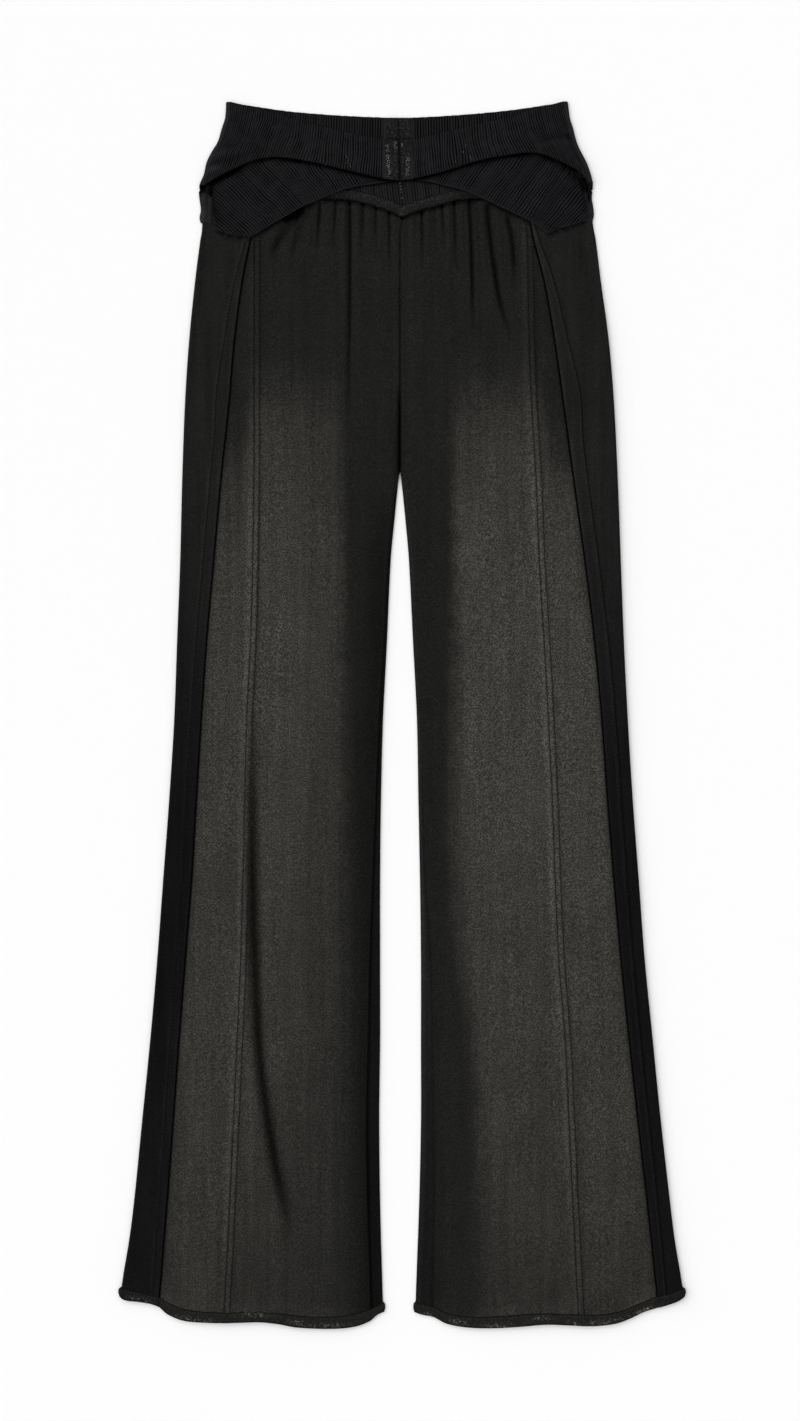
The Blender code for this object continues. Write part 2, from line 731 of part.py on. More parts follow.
def make_hem(side, material):
    """The hem band of the front and back panels, turned round the inner edge."""
    proud = HEM_PROUD["inner"]
    columns = [("front", front_side_line(side, share)) for share in FRONT_SIDE_SHARES[:0:-1]]
    columns += [("front", front_line(side, column["across"])) for column in gathers_of(side)]
    columns += [("fold", angle) for angle in FOLD_ANGLES]
    columns += [("back", share) for share in BACK_SHARES[-2::-1]]

    def place(column, share):
        kind, value = column
        y = HEM_LEVEL
        for _ in range(PASSES):
            if kind == "fold":
                edge = inner_edge(side, y)
                panel = inner_fold(side, value, edge, HEM_WALL)
                fold = inner_fold(side, value, edge - proud, HEM_WALL)
                y = hem_ys(side, panel[1][0], fold[1][0], share)
                continue
            line = value if kind == "front" else back_line(side, value)
            d = line(y)
            if column == columns[0]:
                d -= HALF_GAP
            y = hem_ys(side, d, d, share)
        if kind == "fold":
            return on_fold(side, fold, y)
        if kind == "back":
            return flat_back(side, d, y, HEM_WALL)
        return raised(side, d, y, front_height(side, d, y), HEM_WALL)

    make_wall(f"hem_{side}", material, columns, HEM_ROWS, place)


def make_side_hem(side, material):
    """The hem band of the side panel, turned round the outer edge."""
    proud = HEM_PROUD["side"]

    def place(column, share):
        kind, value = column
        y = HEM_LEVEL
        for _ in range(PASSES):
            edge = LEGS[side]["outer"](y)
            if kind == "fold":
                panel = turned(value, edge, SIDE_FOLD_REACH, fold_top(y), HEM_WALL)
                fold = turned(value, edge + proud, SIDE_FOLD_REACH, fold_top(y), HEM_WALL)
                y = hem_ys(side, panel[1][0], fold[1][0], share)
                continue
            panel_d = side_line(side, kind, value)(y)
            outwards = {"lap": 0.0, "front": value, "back": 1 - value}[kind]
            d = panel_d + proud * outwards + (HALF_GAP if column == SIDE_COLUMNS[0] else 0.0)
            y = hem_ys(side, panel_d, d, share)
        if kind == "fold":
            return on_fold(side, fold, y)
        if kind == "back":
            return flat_back(side, d, y, HEM_WALL)
        return raised(side, d, y, side_height(side, panel_d, y), HEM_WALL)

    make_wall(f"side_hem_{side}", material, SIDE_COLUMNS, HEM_ROWS, place)


def band_height(along, v):
    """The height of the band's inner face: tucked low at the top edge and at the fold."""
    low = blend(HEIGHTS["band_low"], HEIGHTS["band_fold"], step(BAND_SIDE_DROP, 1.0, along))
    return blend(HEIGHTS["band_top"], low, min(1.0, v / BAND_RAISED))


def band_front(side, along, v):
    """A point of the band's front: its distance from the middle and its y."""
    ribs, edge = BAND_RIBS[side], BAND_SIDES[side]
    top_d, low_d = ribs["top"](along), ribs["low"](along)
    y = blend(BAND_TOPS[side](top_d), BAND_LOWS[side](low_d), v)
    d = blend(top_d, low_d, v)
    last_top, last_low = ribs["top"](1.0), ribs["low"](1.0)
    last = blend(last_top, last_low, v)
    last_y = blend(BAND_TOPS[side](last_top), BAND_LOWS[side](last_low), v)
    start = edge(last_y) - CLOTH_WALL - BAND_FOLD_REACH
    return d + (start - last) * along**4, y


def rib_count(length):
    return round(length / RIB_PITCH)


def make_band(side, material):
    """Half the ribbed band, from the middle of the front round the side to the back."""
    sign = SIDES[side]
    width = BAND_RIBS[side]["low"](1.0) - BAND_RIBS[side]["low"](0.0)
    ribs = rib_count(width)
    columns = [("front", at / (2 * ribs)) for at in range(2 * ribs)]
    columns += [("fold", angle) for angle in FOLD_ANGLES]
    folds = round(BAND_SIDE[side][-1][1] / BACK_FOLD_PITCH)
    columns += [("back", at / (2 * folds)) for at in range(1, 2 * folds + 1)]
    tape = {end: max(TAPES[end][side]) + 1 for end in TAPES}

    def place(column, v):
        kind, value = column
        if kind == "front":
            d, y = band_front(side, value, v)
            height = band_height(value, v)
            ridge = RIB_RISE * (round(value * 2 * ribs) % 2)
            ridge *= step(tape["front"], tape["front"] + 2, d)
            return (sign * d, y, height), (sign * d, y, height + CLOTH_WALL + ridge)
        start, start_y = band_front(side, 1.0, v)
        edge = start + CLOTH_WALL + BAND_FOLD_REACH
        top = band_height(1.0, v)
        fold = turned(value if kind == "fold" else -90, edge, BAND_FOLD_REACH, top, CLOTH_WALL)
        if kind == "fold":
            y = min(start_y, blend(WAIST_TOP, BAND_BACK_LOW, v)) if value < 0 else start_y
            return (sign * fold[0][0], y, fold[0][1]), (sign * fold[1][0], y, fold[1][1])
        y = start_y
        for _ in range(PASSES):
            d = blend(fold[0][0], centre(side, y, CENTRE_BACK), value)
            y = blend(BAND_BACK_TOPS[side](d), BAND_BACK_LOW, v)
        ridge = BACK_FOLD_RISE * (round(value * 2 * folds) % 2)
        ridge *= step(tape["back"] + 1, tape["back"] + 6, d) * step(1.0, 0.8, v)
        return (sign * d, y, CLOTH_WALL + ridge), (sign * d, y, 0.0)

    make_wall(f"band_{side}", material, columns, BAND_ROWS, place)


def make_front_tape(side, material):
    """The sewn tape beside the middle seam of the band's front."""
    sign = SIDES[side]
    ends = TAPES["front"][side]

    def place(across, v):
        y = blend(BAND_TOPS[side](0.0), BAND_LOWS[side](0.0), v)
        for _ in range(PASSES):
            d = blend(centre(side, y), blend(*ends, v), across)
            y = blend(BAND_TOPS[side](d), BAND_LOWS[side](d), v)
        height = band_height(0.0, v) + CLOTH_WALL + SEAM_GAP
        return (sign * d, y, height), (sign * d, y, height + TAPE_WALL)

    make_wall(f"front_tape_{side}", material, (0.0, 0.5, 1.0), BAND_ROWS, place)


def make_back_tape(side, material):
    """The sewn tape beside the middle seam inside the band's back."""
    sign = SIDES[side]
    ends = TAPES["back"][side]

    def place(across, v):
        y = BACK_TAPE_END
        for _ in range(PASSES):
            d = blend(centre(side, y, CENTRE_BACK), blend(*ends, v), across)
            y = blend(BAND_BACK_TOPS[side](d), BACK_TAPE_END, v)
        height = CLOTH_WALL + SEAM_GAP
        return (sign * d, y, height), (sign * d, y, height + TAPE_WALL)

    make_wall(f"back_tape_{side}", material, (0.0, 0.5, 1.0), (0.0, 0.5, 1.0), place)


def flap_height(side, d, y):
    """The height of a flap's inner face: tucked low under the band and at its side."""
    side_edge = FLAP_GUIDES[side][FLAP_SIDE_GUIDE][0]
    height = HEIGHTS["flap"]
    height -= HEIGHTS["flap_side_drop"] * step(side_edge - FLAP_SIDE_WIDTH, side_edge, d)
    return blend(height, HEIGHTS["flap_tucked"], step(0, FLAP_TUCK, y - BAND_LOWS[side](d)))


def flap_guides(side):
    """The guide lines of the ribs, and the width that the ribs up to each take up."""
    guides = [dict(zip(FLAP_GUIDE_COLUMNS, row)) for row in FLAP_GUIDES[side]]
    ends = [
        (Vector((guide["upper_d"], guide["upper_y"])), Vector((guide["lower_d"], guide["lower_y"])))
        for guide in guides
    ]
    widths = [0.0]
    for (upper, lower), (next_upper, next_lower) in zip(ends, ends[1:]):
        run = (lower - upper + next_lower - next_upper).normalized()
        across = Vector((-run.y, run.x))
        steps = abs(across.dot(next_upper - upper)), abs(across.dot(next_lower - lower))
        widths.append(widths[-1] + sum(steps) / 2)
    return guides, widths


def rib_line(guides, widths, width):
    """The rib line at a width, straight from one guide to the next."""
    at = max(i for i in range(len(widths) - 1) if widths[i] <= width + 1e-9)
    share = (width - widths[at]) / (widths[at + 1] - widths[at])
    before, after = guides[at], guides[at + 1]
    return {name: blend(before[name], after[name], share) for name in FLAP_GUIDE_COLUMNS}


def make_flap(side, material):
    """A hip flap, ribbed aslant, with its upper edge under the band."""
    guides, widths = flap_guides(side)
    ribs = rib_count(widths[-1])

    def point(column, share):
        line = rib_line(guides, widths, widths[-1] * column / (2 * ribs))
        y = blend(line["upper_y"], line["lower_y"], share)
        return max(blend(line["upper_d"], line["lower_d"], share), centre(side, y)), y

    def from_band(column):
        """The share of the rib line at which it comes out from under the band."""
        least, most = FLAP_BAND_SHARES
        shown = least
        for at in range(FLAP_SEARCH_STEPS):
            share = at / FLAP_SEARCH_STEPS
            d, y = point(column, share)
            if y > BAND_LOWS[side](d):
                shown = max(shown, share)
        return min(most, shown)

    def place(column, row):
        share = {"upper": 0.0, "band": from_band(column), "lower": 1.0}[row]
        d, y = point(column, share)
        return raised(side, d, y, flap_height(side, d, y), CLOTH_WALL + RIB_RISE * (column % 2))

    columns = range(2 * ribs + 1)
    make_wall(f"flap_{side}", material, columns, ("upper", "band", "lower"), place)


def make_yoke(side, material):
    """The ribbed yoke below the flaps, down to the seam of the leg panels."""
    sign = SIDES[side]
    ribs = rib_count(YOKE_RIBBED)
    columns = [at / (2 * ribs) * YOKE_RIBBED for at in range(2 * ribs + 1)]
    columns += YOKE_PLAIN_COLUMNS

    def place(column, v):
        y = YOKE_HIGHEST
        for _ in range(PASSES):
            d = blend(centre(side, y), YOKE_REACH, column / YOKE_REACH)
            top = min(BAND_LOWS[side](d) + YOKE_TUCK, YOKE_HIGHEST)
            y = blend(top, YOKE_LINES[side](d) + HALF_GAP, v)
        ridge = YOKE_RIB_RISE * (columns.index(column) % 2) if column < YOKE_RIBBED else 0.0
        height = HEIGHTS["yoke"]
        return (sign * d, y, height), (sign * d, y, height + THIN_WALL + ridge)

    make_wall(f"yoke_{side}", material, columns, (0.0, 1.0), place)


def make_piping(side, material):
    """The flat trim over the seam of yoke and panels, to just under the flap."""
    sign = SIDES[side]
    columns = [at / PIPING_LENGTHS for at in range(PIPING_LENGTHS + 1)]

    def place(share, v):
        y = WAIST_LEVEL
        for _ in range(PASSES):
            d = blend(centre(side, y), PIPING_REACH, share)
            slope = (YOKE_LINES[side](d + 1) - YOKE_LINES[side](d - 1)) / 2
            half = PIPING_HALF_WIDTH * (1 + slope * slope) ** 0.5
            y = YOKE_LINES[side](d) + blend(half, -half, v)
        height = HEIGHTS["piping"]
        crown = PIPING_CROWN * sin(pi * v)
        return (sign * d, y, height), (sign * d, y, height + THIN_WALL + crown)

    make_wall(f"piping_{side}", material, columns, (0.0, 0.5, 1.0), place)


def make_back_yoke(side, material):
    """The back yoke below the band, turned round the side to the flap's edge."""
    sign = SIDES[side]
    edge = YOKE_EDGES[side]
    beside_fold = ("front", 0.97)
    columns = [("front", 0.0), ("front", 0.6), beside_fold]
    columns += [("fold", angle) for angle in FOLD_ANGLES]
    columns += [("back", share) for share in (0.2, 0.6, 1.0)]
    top = HEIGHTS["fold_at_waist"]

    def place(column, v):
        kind, value = column
        y = BACK_YOKE_TOP
        strip_top = BACK_YOKE_TOP if column == beside_fold else BACK_YOKE_STRIP_TOP[side]
        for _ in range(PASSES):
            angle = value if kind == "fold" else FOLD_ANGLES[0]
            fold = turned(angle, edge(y), SIDE_FOLD_REACH, top, CLOTH_WALL)
            if kind == "front":
                d = blend(BACK_YOKE_STRIP[side], fold[0][0], value)
                y = blend(strip_top, SIDE_TOPS[side](d) + HEM_GAP, v)
                continue
            if kind == "back":
                d = blend(fold[0][0], centre(side, y, CENTRE_BACK), value)
            y = blend(BACK_YOKE_TOP, BACK_PANEL_TOP[side] + SEAM_GAP, v)
        if kind == "fold":
            return (sign * fold[0][0], y, fold[0][1]), (sign * fold[1][0], y, fold[1][1])
        if kind == "back":
            return (sign * d, y, CLOTH_WALL), (sign * d, y, 0.0)
        return (sign * d, y, top), (sign * d, y, top + CLOTH_WALL)

    make_wall(f"back_yoke_{side}", material, columns, (0.0, 0.35, 0.7, 1.0), place)


def make_material(name):
    colour, roughness = MATERIALS[name]
    material = bpy.data.materials.new(name)
    material.use_nodes = True
    shader = material.node_tree.nodes["Principled BSDF"]
    shader.inputs["Base Color"].default_value = (*colour, 1.0)
    shader.inputs["Roughness"].default_value = roughness
    shader.inputs["Metallic"].default_value = 0.0
    return material


def main():
    for obj in list(bpy.data.objects):
        bpy.data.objects.remove(obj)
    collection = bpy.data.collections.new(COLLECTION)
    bpy.context.scene.collection.children.link(collection)
    materials = {name: make_material(name) for name in MATERIALS}
    for side in SIDES:
        make_front_panel(side, materials["washed_denim"])
        make_front_side_panel(side, materials["washed_denim"])
        make_side_panel(side, materials["side_cloth"])
        make_back_panel(side, materials["side_cloth"])
        make_hem(side, materials["hem_cloth"])
        make_side_hem(side, materials["hem_cloth"])
        make_band(side, materials["rib_knit"])
        make_front_tape(side, materials["tape"])
        make_back_tape(side, materials["tape"])
        make_flap(side, materials["rib_knit"])
        make_yoke(side, materials["rib_knit"])
        make_piping(side, materials["tape"])
        make_back_yoke(side, materials["rib_knit"])


main()
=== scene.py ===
from math import pi, radians

import bmesh
import bpy
import numpy as np
from mathutils import Matrix, Vector


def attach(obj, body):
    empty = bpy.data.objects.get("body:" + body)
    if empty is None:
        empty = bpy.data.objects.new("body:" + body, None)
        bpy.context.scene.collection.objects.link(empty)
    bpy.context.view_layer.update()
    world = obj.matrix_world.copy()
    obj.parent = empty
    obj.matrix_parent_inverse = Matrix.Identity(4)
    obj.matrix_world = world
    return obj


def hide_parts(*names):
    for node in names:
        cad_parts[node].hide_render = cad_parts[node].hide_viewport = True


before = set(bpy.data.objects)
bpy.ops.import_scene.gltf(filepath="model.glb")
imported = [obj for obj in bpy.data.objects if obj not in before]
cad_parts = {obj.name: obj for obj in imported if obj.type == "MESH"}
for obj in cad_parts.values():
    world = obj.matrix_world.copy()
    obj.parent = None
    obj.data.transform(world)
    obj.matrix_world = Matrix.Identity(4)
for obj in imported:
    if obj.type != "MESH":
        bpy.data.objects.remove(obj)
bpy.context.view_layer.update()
print("frame loaded:", len(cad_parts), "nodes")

sides = {"left": 1, "right": -1}  # the wearer's left is +X
metres = 0.001
passes = 8  # rounds of solving for a slanted line's end
surfaces = {}  # outer points of each finished wall, for the sewing


def blend(start, end, share):
    return start + (end - start) * share


def ease(low, high, value):
    share = np.clip((value - low) / (high - low), 0, 1)
    return share * share * (3 - 2 * share)


def hump(offset):
    return np.exp(-offset * offset)


def softLine(points):
    # smooth curve through the points, straight on past both ends
    places, values = np.array(sorted(points), float).T
    slopes = np.empty_like(values)
    slopes[1:-1] = (values[2:] - values[:-2]) / (places[2:] - places[:-2])
    slopes[0] = (values[1] - values[0]) / (places[1] - places[0])
    slopes[-1] = (values[-1] - values[-2]) / (places[-1] - places[-2])

    def at(place):
        place = np.asarray(place, float)
        k = np.clip(np.searchsorted(places, place, side="right") - 1, 0, len(places) - 2)
        span = places[k + 1] - places[k]
        t = np.clip((place - places[k]) / span, 0, 1)
        start = (1 + 2 * t) * (1 - t) ** 2 * values[k] + t * (1 - t) ** 2 * span * slopes[k]
        end = t * t * (3 - 2 * t) * values[k + 1] - t * t * (1 - t) * span * slopes[k + 1]
        before = np.minimum(place - places[0], 0) * slopes[0]
        after = np.maximum(place - places[-1], 0) * slopes[-1]
        return start + end + before + after

    return at


def straightLine(points):
    places, values = np.array(points, float).T

    def at(place):
        k = np.clip(np.searchsorted(places, place, side="right") - 1, 0, len(places) - 2)
        return blend(values[k], values[k + 1], (place - places[k]) / (places[k + 1] - places[k]))

    return at


def softPath(points, steps=5):
    order = np.arange(len(points))
    at = np.linspace(0, len(points) - 1, (len(points) - 1) * steps + 1)
    return np.stack([softLine(list(zip(order, axis)))(at) for axis in zip(*points)], axis=1)


def alongPath(x, y, path):
    # signed distance to the left of a path, the length run along it, and its whole length
    nearest = np.full(np.shape(x), np.inf)
    aside, run, start = np.zeros_like(nearest), np.zeros_like(nearest), 0.0
    for (ax, ay), (bx, by) in zip(path, path[1:]):
        ex, ey = bx - ax, by - ay
        length = np.hypot(ex, ey)
        t = np.clip(((x - ax) * ex + (y - ay) * ey) / length**2, 0, 1)
        dx, dy = x - ax - t * ex, y - ay - t * ey
        far = np.hypot(dx, dy)
        closer = far < nearest
        nearest = np.where(closer, far, nearest)
        aside = np.where(closer, np.sign(ex * dy - ey * dx) * far, aside)
        run = np.where(closer, start + t * length, run)
        start += length
    return aside, run, start


def crease(path, width, rise, fade, dark=0, left=1, right=1):
    # a trough or ridge: path in X and Y, half width, rise, fade in and out, dark (painted shade), sharpness of each
    # side
    return path, width, rise, fade, dark, left, right


def creased(x, y, creases):
    # what the creases add to the height, and the painted shade of their valleys (painted highlight where dark is
    # negative)
    total, deep = np.zeros(np.shape(x)), np.zeros(np.shape(x))
    for path, width, rise, (fadeIn, fadeOut), dark, left, right in creases:
        path, reach = softPath(path), 3.2 * width / min(left, right)
        low, high = path.min(axis=0) - reach, path.max(axis=0) + reach
        near = (x > low[0]) & (x < high[0]) & (y > low[1]) & (y < high[1])
        if not near.any():
            continue
        aside, run, length = alongPath(x[near], y[near], path)
        form = hump(aside / width * np.where(aside > 0, left, right))
        form *= ease(-1, fadeIn, run) * ease(length + 1, length - fadeOut, run)
        total[near] += rise * form
        deep[near] += dark * form
    return total, deep


def rippled(x, y, size, seed):
    # a gentle, uneven swell between about -1 and 1
    draw = np.random.default_rng(seed)
    total = np.zeros(np.shape(x))
    for _ in range(7):
        turn, phase = draw.uniform(0, pi), draw.uniform(0, 2 * pi)
        length = size * draw.uniform(0.7, 1.6)
        total = total + np.sin((x * np.cos(turn) + y * np.sin(turn)) * 2 * pi / length + phase)
    return total / 3.5


def ribDepths(count, seed, least):
    return np.random.default_rng(seed).uniform(least, 1.0, count)


def ribGroove(phase, depths):
    # 0 on a rib's crown and up to 1 in the groove beside it
    return depths[np.rint(phase).astype(int) % len(depths)] * np.abs(np.cos(pi * phase)) ** 2.2


# The lines down each leg, at heights y: outer fold, lap of the side panel, princess seam.
legRows = {
    "right": (
        (485, 190.0, 136.5, 138.0), (461, 190.4, 142.7, 138.0), (451, 192.1, 145.1, 138.0),
        (413, 196.9, 152.7, 138.0), (356, 202.6, 160.3, 138.0), (299, 206.4, 165.1, 138.0),
        (223, 209.2, 173.1, 138.2), (147, 211.1, 179.8, 139.3), (71, 214.0, 186.6, 141.3), (-5, 216.8, 191.7, 145.0),
        (-81, 221.6, 196.4, 146.7), (-157, 227.3, 200.9, 148.6), (-233, 233.0, 206.9, 150.7),
        (-309, 239.6, 212.8, 154.1), (-385, 247.2, 218.3, 157.5), (-461, 254.8, 224.0, 161.1),
        (-499, 259.6, 227.1, 162.8), (-533, 265.3, 229.8, 164.6), (-551, 267.6, 231.3, 165.6),
        (-584, 270.0, 233.0, 167.0),
    ),
    "left": (
        (485, 181.0, 119.5, 119.6), (468, 181.2, 122.3, 120.6), (451, 184.1, 125.8, 121.6),
        (413, 188.8, 135.6, 122.4), (356, 196.4, 145.6, 123.3), (299, 201.2, 153.7, 125.5),
        (223, 205.0, 163.9, 129.9), (147, 207.8, 174.4, 132.9), (71, 210.7, 183.6, 137.5), (-5, 214.5, 190.6, 141.6),
        (-81, 219.2, 196.0, 145.3), (-157, 224.9, 202.1, 148.0), (-233, 230.6, 208.8, 151.5),
        (-309, 238.2, 216.6, 157.5), (-385, 245.8, 224.8, 161.1), (-461, 254.4, 233.5, 164.6),
        (-499, 259.1, 237.6, 166.5), (-533, 264.8, 241.1, 168.2), (-551, 267.4, 242.9, 169.1),
        (-584, 270.0, 245.5, 171.0),
    ),
}

# The inner leg, at heights y: its edge, and how far out from that the inseam lies.
innerRows = {
    "right": (
        (231.5, 2.4, 2.4), (226, 3.3, 2.4), (212, 4.8, 2.4), (185, 7.5, 2.4), (147, 11.0, 2.5), (71, 14.5, 2.6),
        (-5, 18.3, 2.9), (-81, 20.2, 4.0), (-157, 21.1, 6.2), (-233, 21.1, 9.0), (-309, 21.1, 10.5),
        (-385, 21.9, 11.4), (-461, 21.1, 11.2), (-542, 18.9, 10.8), (-584, 17.5, 10.8),
    ),
    "left": (
        (231.5, -1.5, 2.4), (226, -1.1, 2.4), (212, 0.4, 2.4), (185, 3.1, 2.4), (147, 6.4, 2.4), (71, 10.2, 2.5),
        (-5, 14.0, 2.6), (-81, 15.4, 3.3), (-157, 16.9, 4.8), (-233, 17.8, 8.8), (-309, 17.8, 10.4),
        (-385, 17.8, 11.9), (-461, 16.2, 14.2), (-542, 13.3, 15.8), (-584, 12.0, 16.5),
    ),
}

# The middle seams, front and back: y and X.
centreFrontRows = (
    (226, -1.9), (440, -2.0), (463, -1.7), (473, 0.6), (485, 0.7), (507, -2.1), (548, -3.1),
)

centreBackRows = ((226, -1.9), (480, -2.2), (520, -3.1), (570, -3.3))

# Edges and seams that run across: d and y.
yokeSeam = {
    "right": (
        (-0.7, 478.5), (11.6, 483.7), (24.0, 487.9), (37.3, 491.3), (50.0, 493.4), (64.0, 494.1), (78.0, 494.0),
        (105.0, 491.0), (140.0, 485.0), (152.0, 483.5),
    ),
    "left": (
        (0.7, 478.5), (9.7, 482.4), (22.6, 486.1), (35.4, 489.4), (48.2, 492.7), (60.0, 494.3), (74.0, 494.1),
        (105.0, 490.5), (135.0, 485.0), (152.0, 482.5),
    ),
}

sidePanelTop = {
    "right": ((136.0, 471.0), (170.0, 461.2), (186.6, 468.2)),
    "left": ((119.0, 474.0), (158.0, 465.4), (177.3, 469.6)),
}

hemTop = {
    "right": (
        (18.0, -558.0), (26.8, -563.2), (41.1, -567.6), (59.1, -571.0), (86.7, -571.2), (114.2, -568.6),
        (141.8, -566.8), (168.4, -567.4), (190.2, -566.6), (208.3, -563.8), (223.5, -557.5), (232.0, -552.6),
        (241.5, -550.7), (256.0, -546.8), (267.0, -543.4),
    ),
    "left": (
        (12.1, -557.5), (28.7, -562.3), (43.5, -568.3), (70.5, -571.7), (97.6, -570.4), (129.0, -568.2),
        (161.3, -568.9), (188.8, -569.2), (206.9, -566.3), (224.9, -559.4), (241.1, -552.6), (258.2, -548.3),
        (267.0, -543.6),
    ),
}

hemLow = {
    "right": (
        (17.0, -567.0), (24.0, -570.4), (30.6, -576.0), (45.0, -581.2), (68.6, -583.2), (100.9, -581.7),
        (118.0, -578.6), (136.0, -576.8), (159.8, -577.4), (186.4, -577.4), (208.3, -575.4), (223.5, -569.2),
        (233.0, -561.6), (250.0, -557.7), (264.0, -555.7), (270.0, -551.0),
    ),
    "left": (
        (10.6, -567.0), (18.0, -569.8), (30.2, -572.4), (41.6, -578.2), (61.5, -581.8), (85.3, -582.6),
        (110.9, -581.2), (135.6, -579.1), (161.3, -579.9), (183.1, -580.5), (203.1, -578.2), (216.4, -573.6),
        (230.6, -567.0), (246.8, -562.3), (262.0, -557.0), (270.0, -551.0),
    ),
}

bandTop = {
    "right": (
        (3.1, 546.4), (17.3, 547.6), (42.0, 551.7), (62.0, 556.4), (81.9, 560.7), (102.8, 566.0), (121.8, 572.4),
        (142.7, 577.9), (162.6, 582.8),
    ),
    "left": (
        (-3.1, 546.4), (11.2, 547.6), (28.3, 551.1), (48.2, 555.9), (68.2, 560.7), (88.1, 565.2), (108.1, 570.1),
        (134.7, 578.3), (152.8, 583.2),
    ),
}

bandLow = {
    "right": (
        (3.0, 507.3), (14.5, 508.6), (34.4, 512.9), (53.4, 517.5), (81.9, 524.2), (95.2, 526.6), (117.0, 529.5),
        (127.0, 529.3), (138.0, 527.3), (148.4, 523.8), (169.3, 514.1), (178.8, 509.3), (187.0, 504.6),
        (194.0, 499.6),
    ),
    "left": (
        (-3.1, 507.2), (6.9, 508.3), (24.5, 512.2), (48.2, 518.6), (65.3, 524.1), (81.5, 528.0), (101.4, 531.6),
        (116.6, 533.6), (127.1, 533.6), (137.5, 531.0), (148.0, 526.4), (159.4, 521.2), (167.9, 516.4),
        (175.0, 509.6), (182.3, 499.8),
    ),
}

# The band's outline up its side: y and d.
bandSide = {
    "right": (
        (499.0, 194.0), (506.5, 191.8), (514.1, 188.6), (525.5, 186.0), (536.9, 180.4), (544.5, 175.6),
        (559.7, 171.0), (567.3, 168.5), (583.2, 167.4),
    ),
    "left": (
        (499.0, 182.3), (506.5, 181.2), (514.1, 179.3), (525.5, 175.2), (536.9, 169.3), (544.5, 166.0),
        (559.7, 162.0), (567.3, 159.5), (583.2, 157.5),
    ),
}

# The waist's back edge: d and y.
bandBackTop = {
    "right": (
        (3.3, 568.2), (16.4, 568.3), (50.6, 569.7), (81.9, 571.8), (105.7, 573.9), (135.1, 578.0), (167.0, 583.0),
    ),
    "left": (
        (-3.3, 568.2), (7.4, 568.2), (28.3, 569.1), (68.2, 571.8), (108.1, 575.9), (134.7, 579.8), (157.0, 583.2),
    ),
}

# Ribs of the band: share of the way round, then d at the top and at the low edge.
bandGuides = {
    "right": (
        (0.0, 3.2, 3.2), (0.25, 44.0, 46.0), (0.5, 86.0, 93.0), (0.7, 118.0, 132.0), (0.86, 143.0, 163.0),
        (1.0, 162.6, 189.2),
    ),
    "left": (
        (0.0, -3.0, -3.0), (0.25, 36.0, 38.0), (0.5, 77.0, 84.0), (0.7, 109.0, 123.0), (0.86, 134.0, 154.0),
        (1.0, 152.8, 177.6),
    ),
}

# How wide the tapes are at the top and at the low end.
tapes = {
    "front": {"right": (17.3, 14.5), "left": (10.2, 6.4)},
    "back": {"right": (15.4, 13.5), "left": (7.7, 5.5)},
}

# Ribs of the flaps: d and y of the upper end, then of the end at the free edge.
flapGuides = {
    "right": (
        (4.0, 522.0, 2.3, 507.5), (25.0, 525.5, 14.5, 506.2), (45.0, 529.0, 26.8, 504.6), (65.0, 533.5, 41.6, 502.3),
        (84.0, 538.0, 56.3, 498.9), (104.0, 541.0, 68.6, 494.1), (126.0, 542.0, 81.9, 488.4),
        (148.0, 537.5, 95.2, 482.7), (164.0, 530.0, 108.5, 475.1), (175.5, 521.5, 121.8, 467.5),
        (179.8, 503.0, 135.1, 459.3), (180.2, 490.0, 143.7, 454.2), (179.6, 478.6, 155.1, 455.2),
        (178.4, 469.6, 165.5, 456.3), (177.2, 463.2, 175.4, 460.8),
    ),
    "left": (
        (4.0, 522.0, -1.7, 507.5), (18.5, 525.0, 9.8, 508.4), (39.0, 530.5, 28.3, 506.2), (55.0, 535.5, 37.8, 503.4),
        (74.0, 541.0, 48.2, 501.1), (88.0, 544.5, 56.8, 498.9), (104.0, 547.0, 65.3, 496.0),
        (127.0, 546.0, 81.5, 488.4), (148.0, 538.0, 101.4, 478.9), (160.0, 528.0, 121.4, 469.4),
        (167.0, 508.0, 130.0, 463.6), (171.6, 496.5, 139.0, 457.4), (174.2, 489.0, 148.0, 461.8),
        (176.0, 481.5, 161.3, 465.3), (177.0, 473.5, 172.7, 469.0),
    ),
}

# The back yoke's outline up its side: y and d.
backYokeEdge = {
    "right": ((467.0, 191.3), (473.0, 192.8), (480.0, 191.5), (491.0, 192.8), (499.0, 193.6)),
    "left": ((467.0, 180.4), (475.0, 182.2), (483.0, 181.7), (491.0, 180.3), (499.0, 181.0)),
}

backTop = {"right": 468.2, "left": 469.6}  # where the back panels start
waistLevel, hipLevel, crotch, hemStart, hemLevel = 480.0, 380.0, 231.5, -400.0, -560.0
clothWall, hemWall, tapeWall = 1.2, 1.5, 1.0
seamGap = 0.02
sharpFrom = radians(65)

softTables = {
    "yoke": yokeSeam, "hemTop": hemTop, "hemLow": hemLow, "bandTop": bandTop, "bandLow": bandLow,
    "bandSide": bandSide, "bandBackTop": bandBackTop, "backYokeEdge": backYokeEdge,
}
lines = {}
for side in sides:
    lines[side] = {name: softLine(table[side]) for name, table in softTables.items()}
    lines[side]["sideTop"] = straightLine(sidePanelTop[side])
    for names, table in ((("outer", "lap", "princess"), legRows), (("edge", "strip"), innerRows),
                         (("ribTop", "ribLow"), bandGuides)):
        for at, name in enumerate(names, 1):
            lines[side][name] = softLine([(row[0], row[at]) for row in table[side]])
centreFront, centreBack = softLine(centreFrontRows), softLine(centreBackRows)


def centre(side, y, seam=centreFront, gap=seamGap):
    return sides[side] * seam(y) + gap


def innerEdge(side, y):
    return lines[side]["edge"](np.minimum(y, crotch))


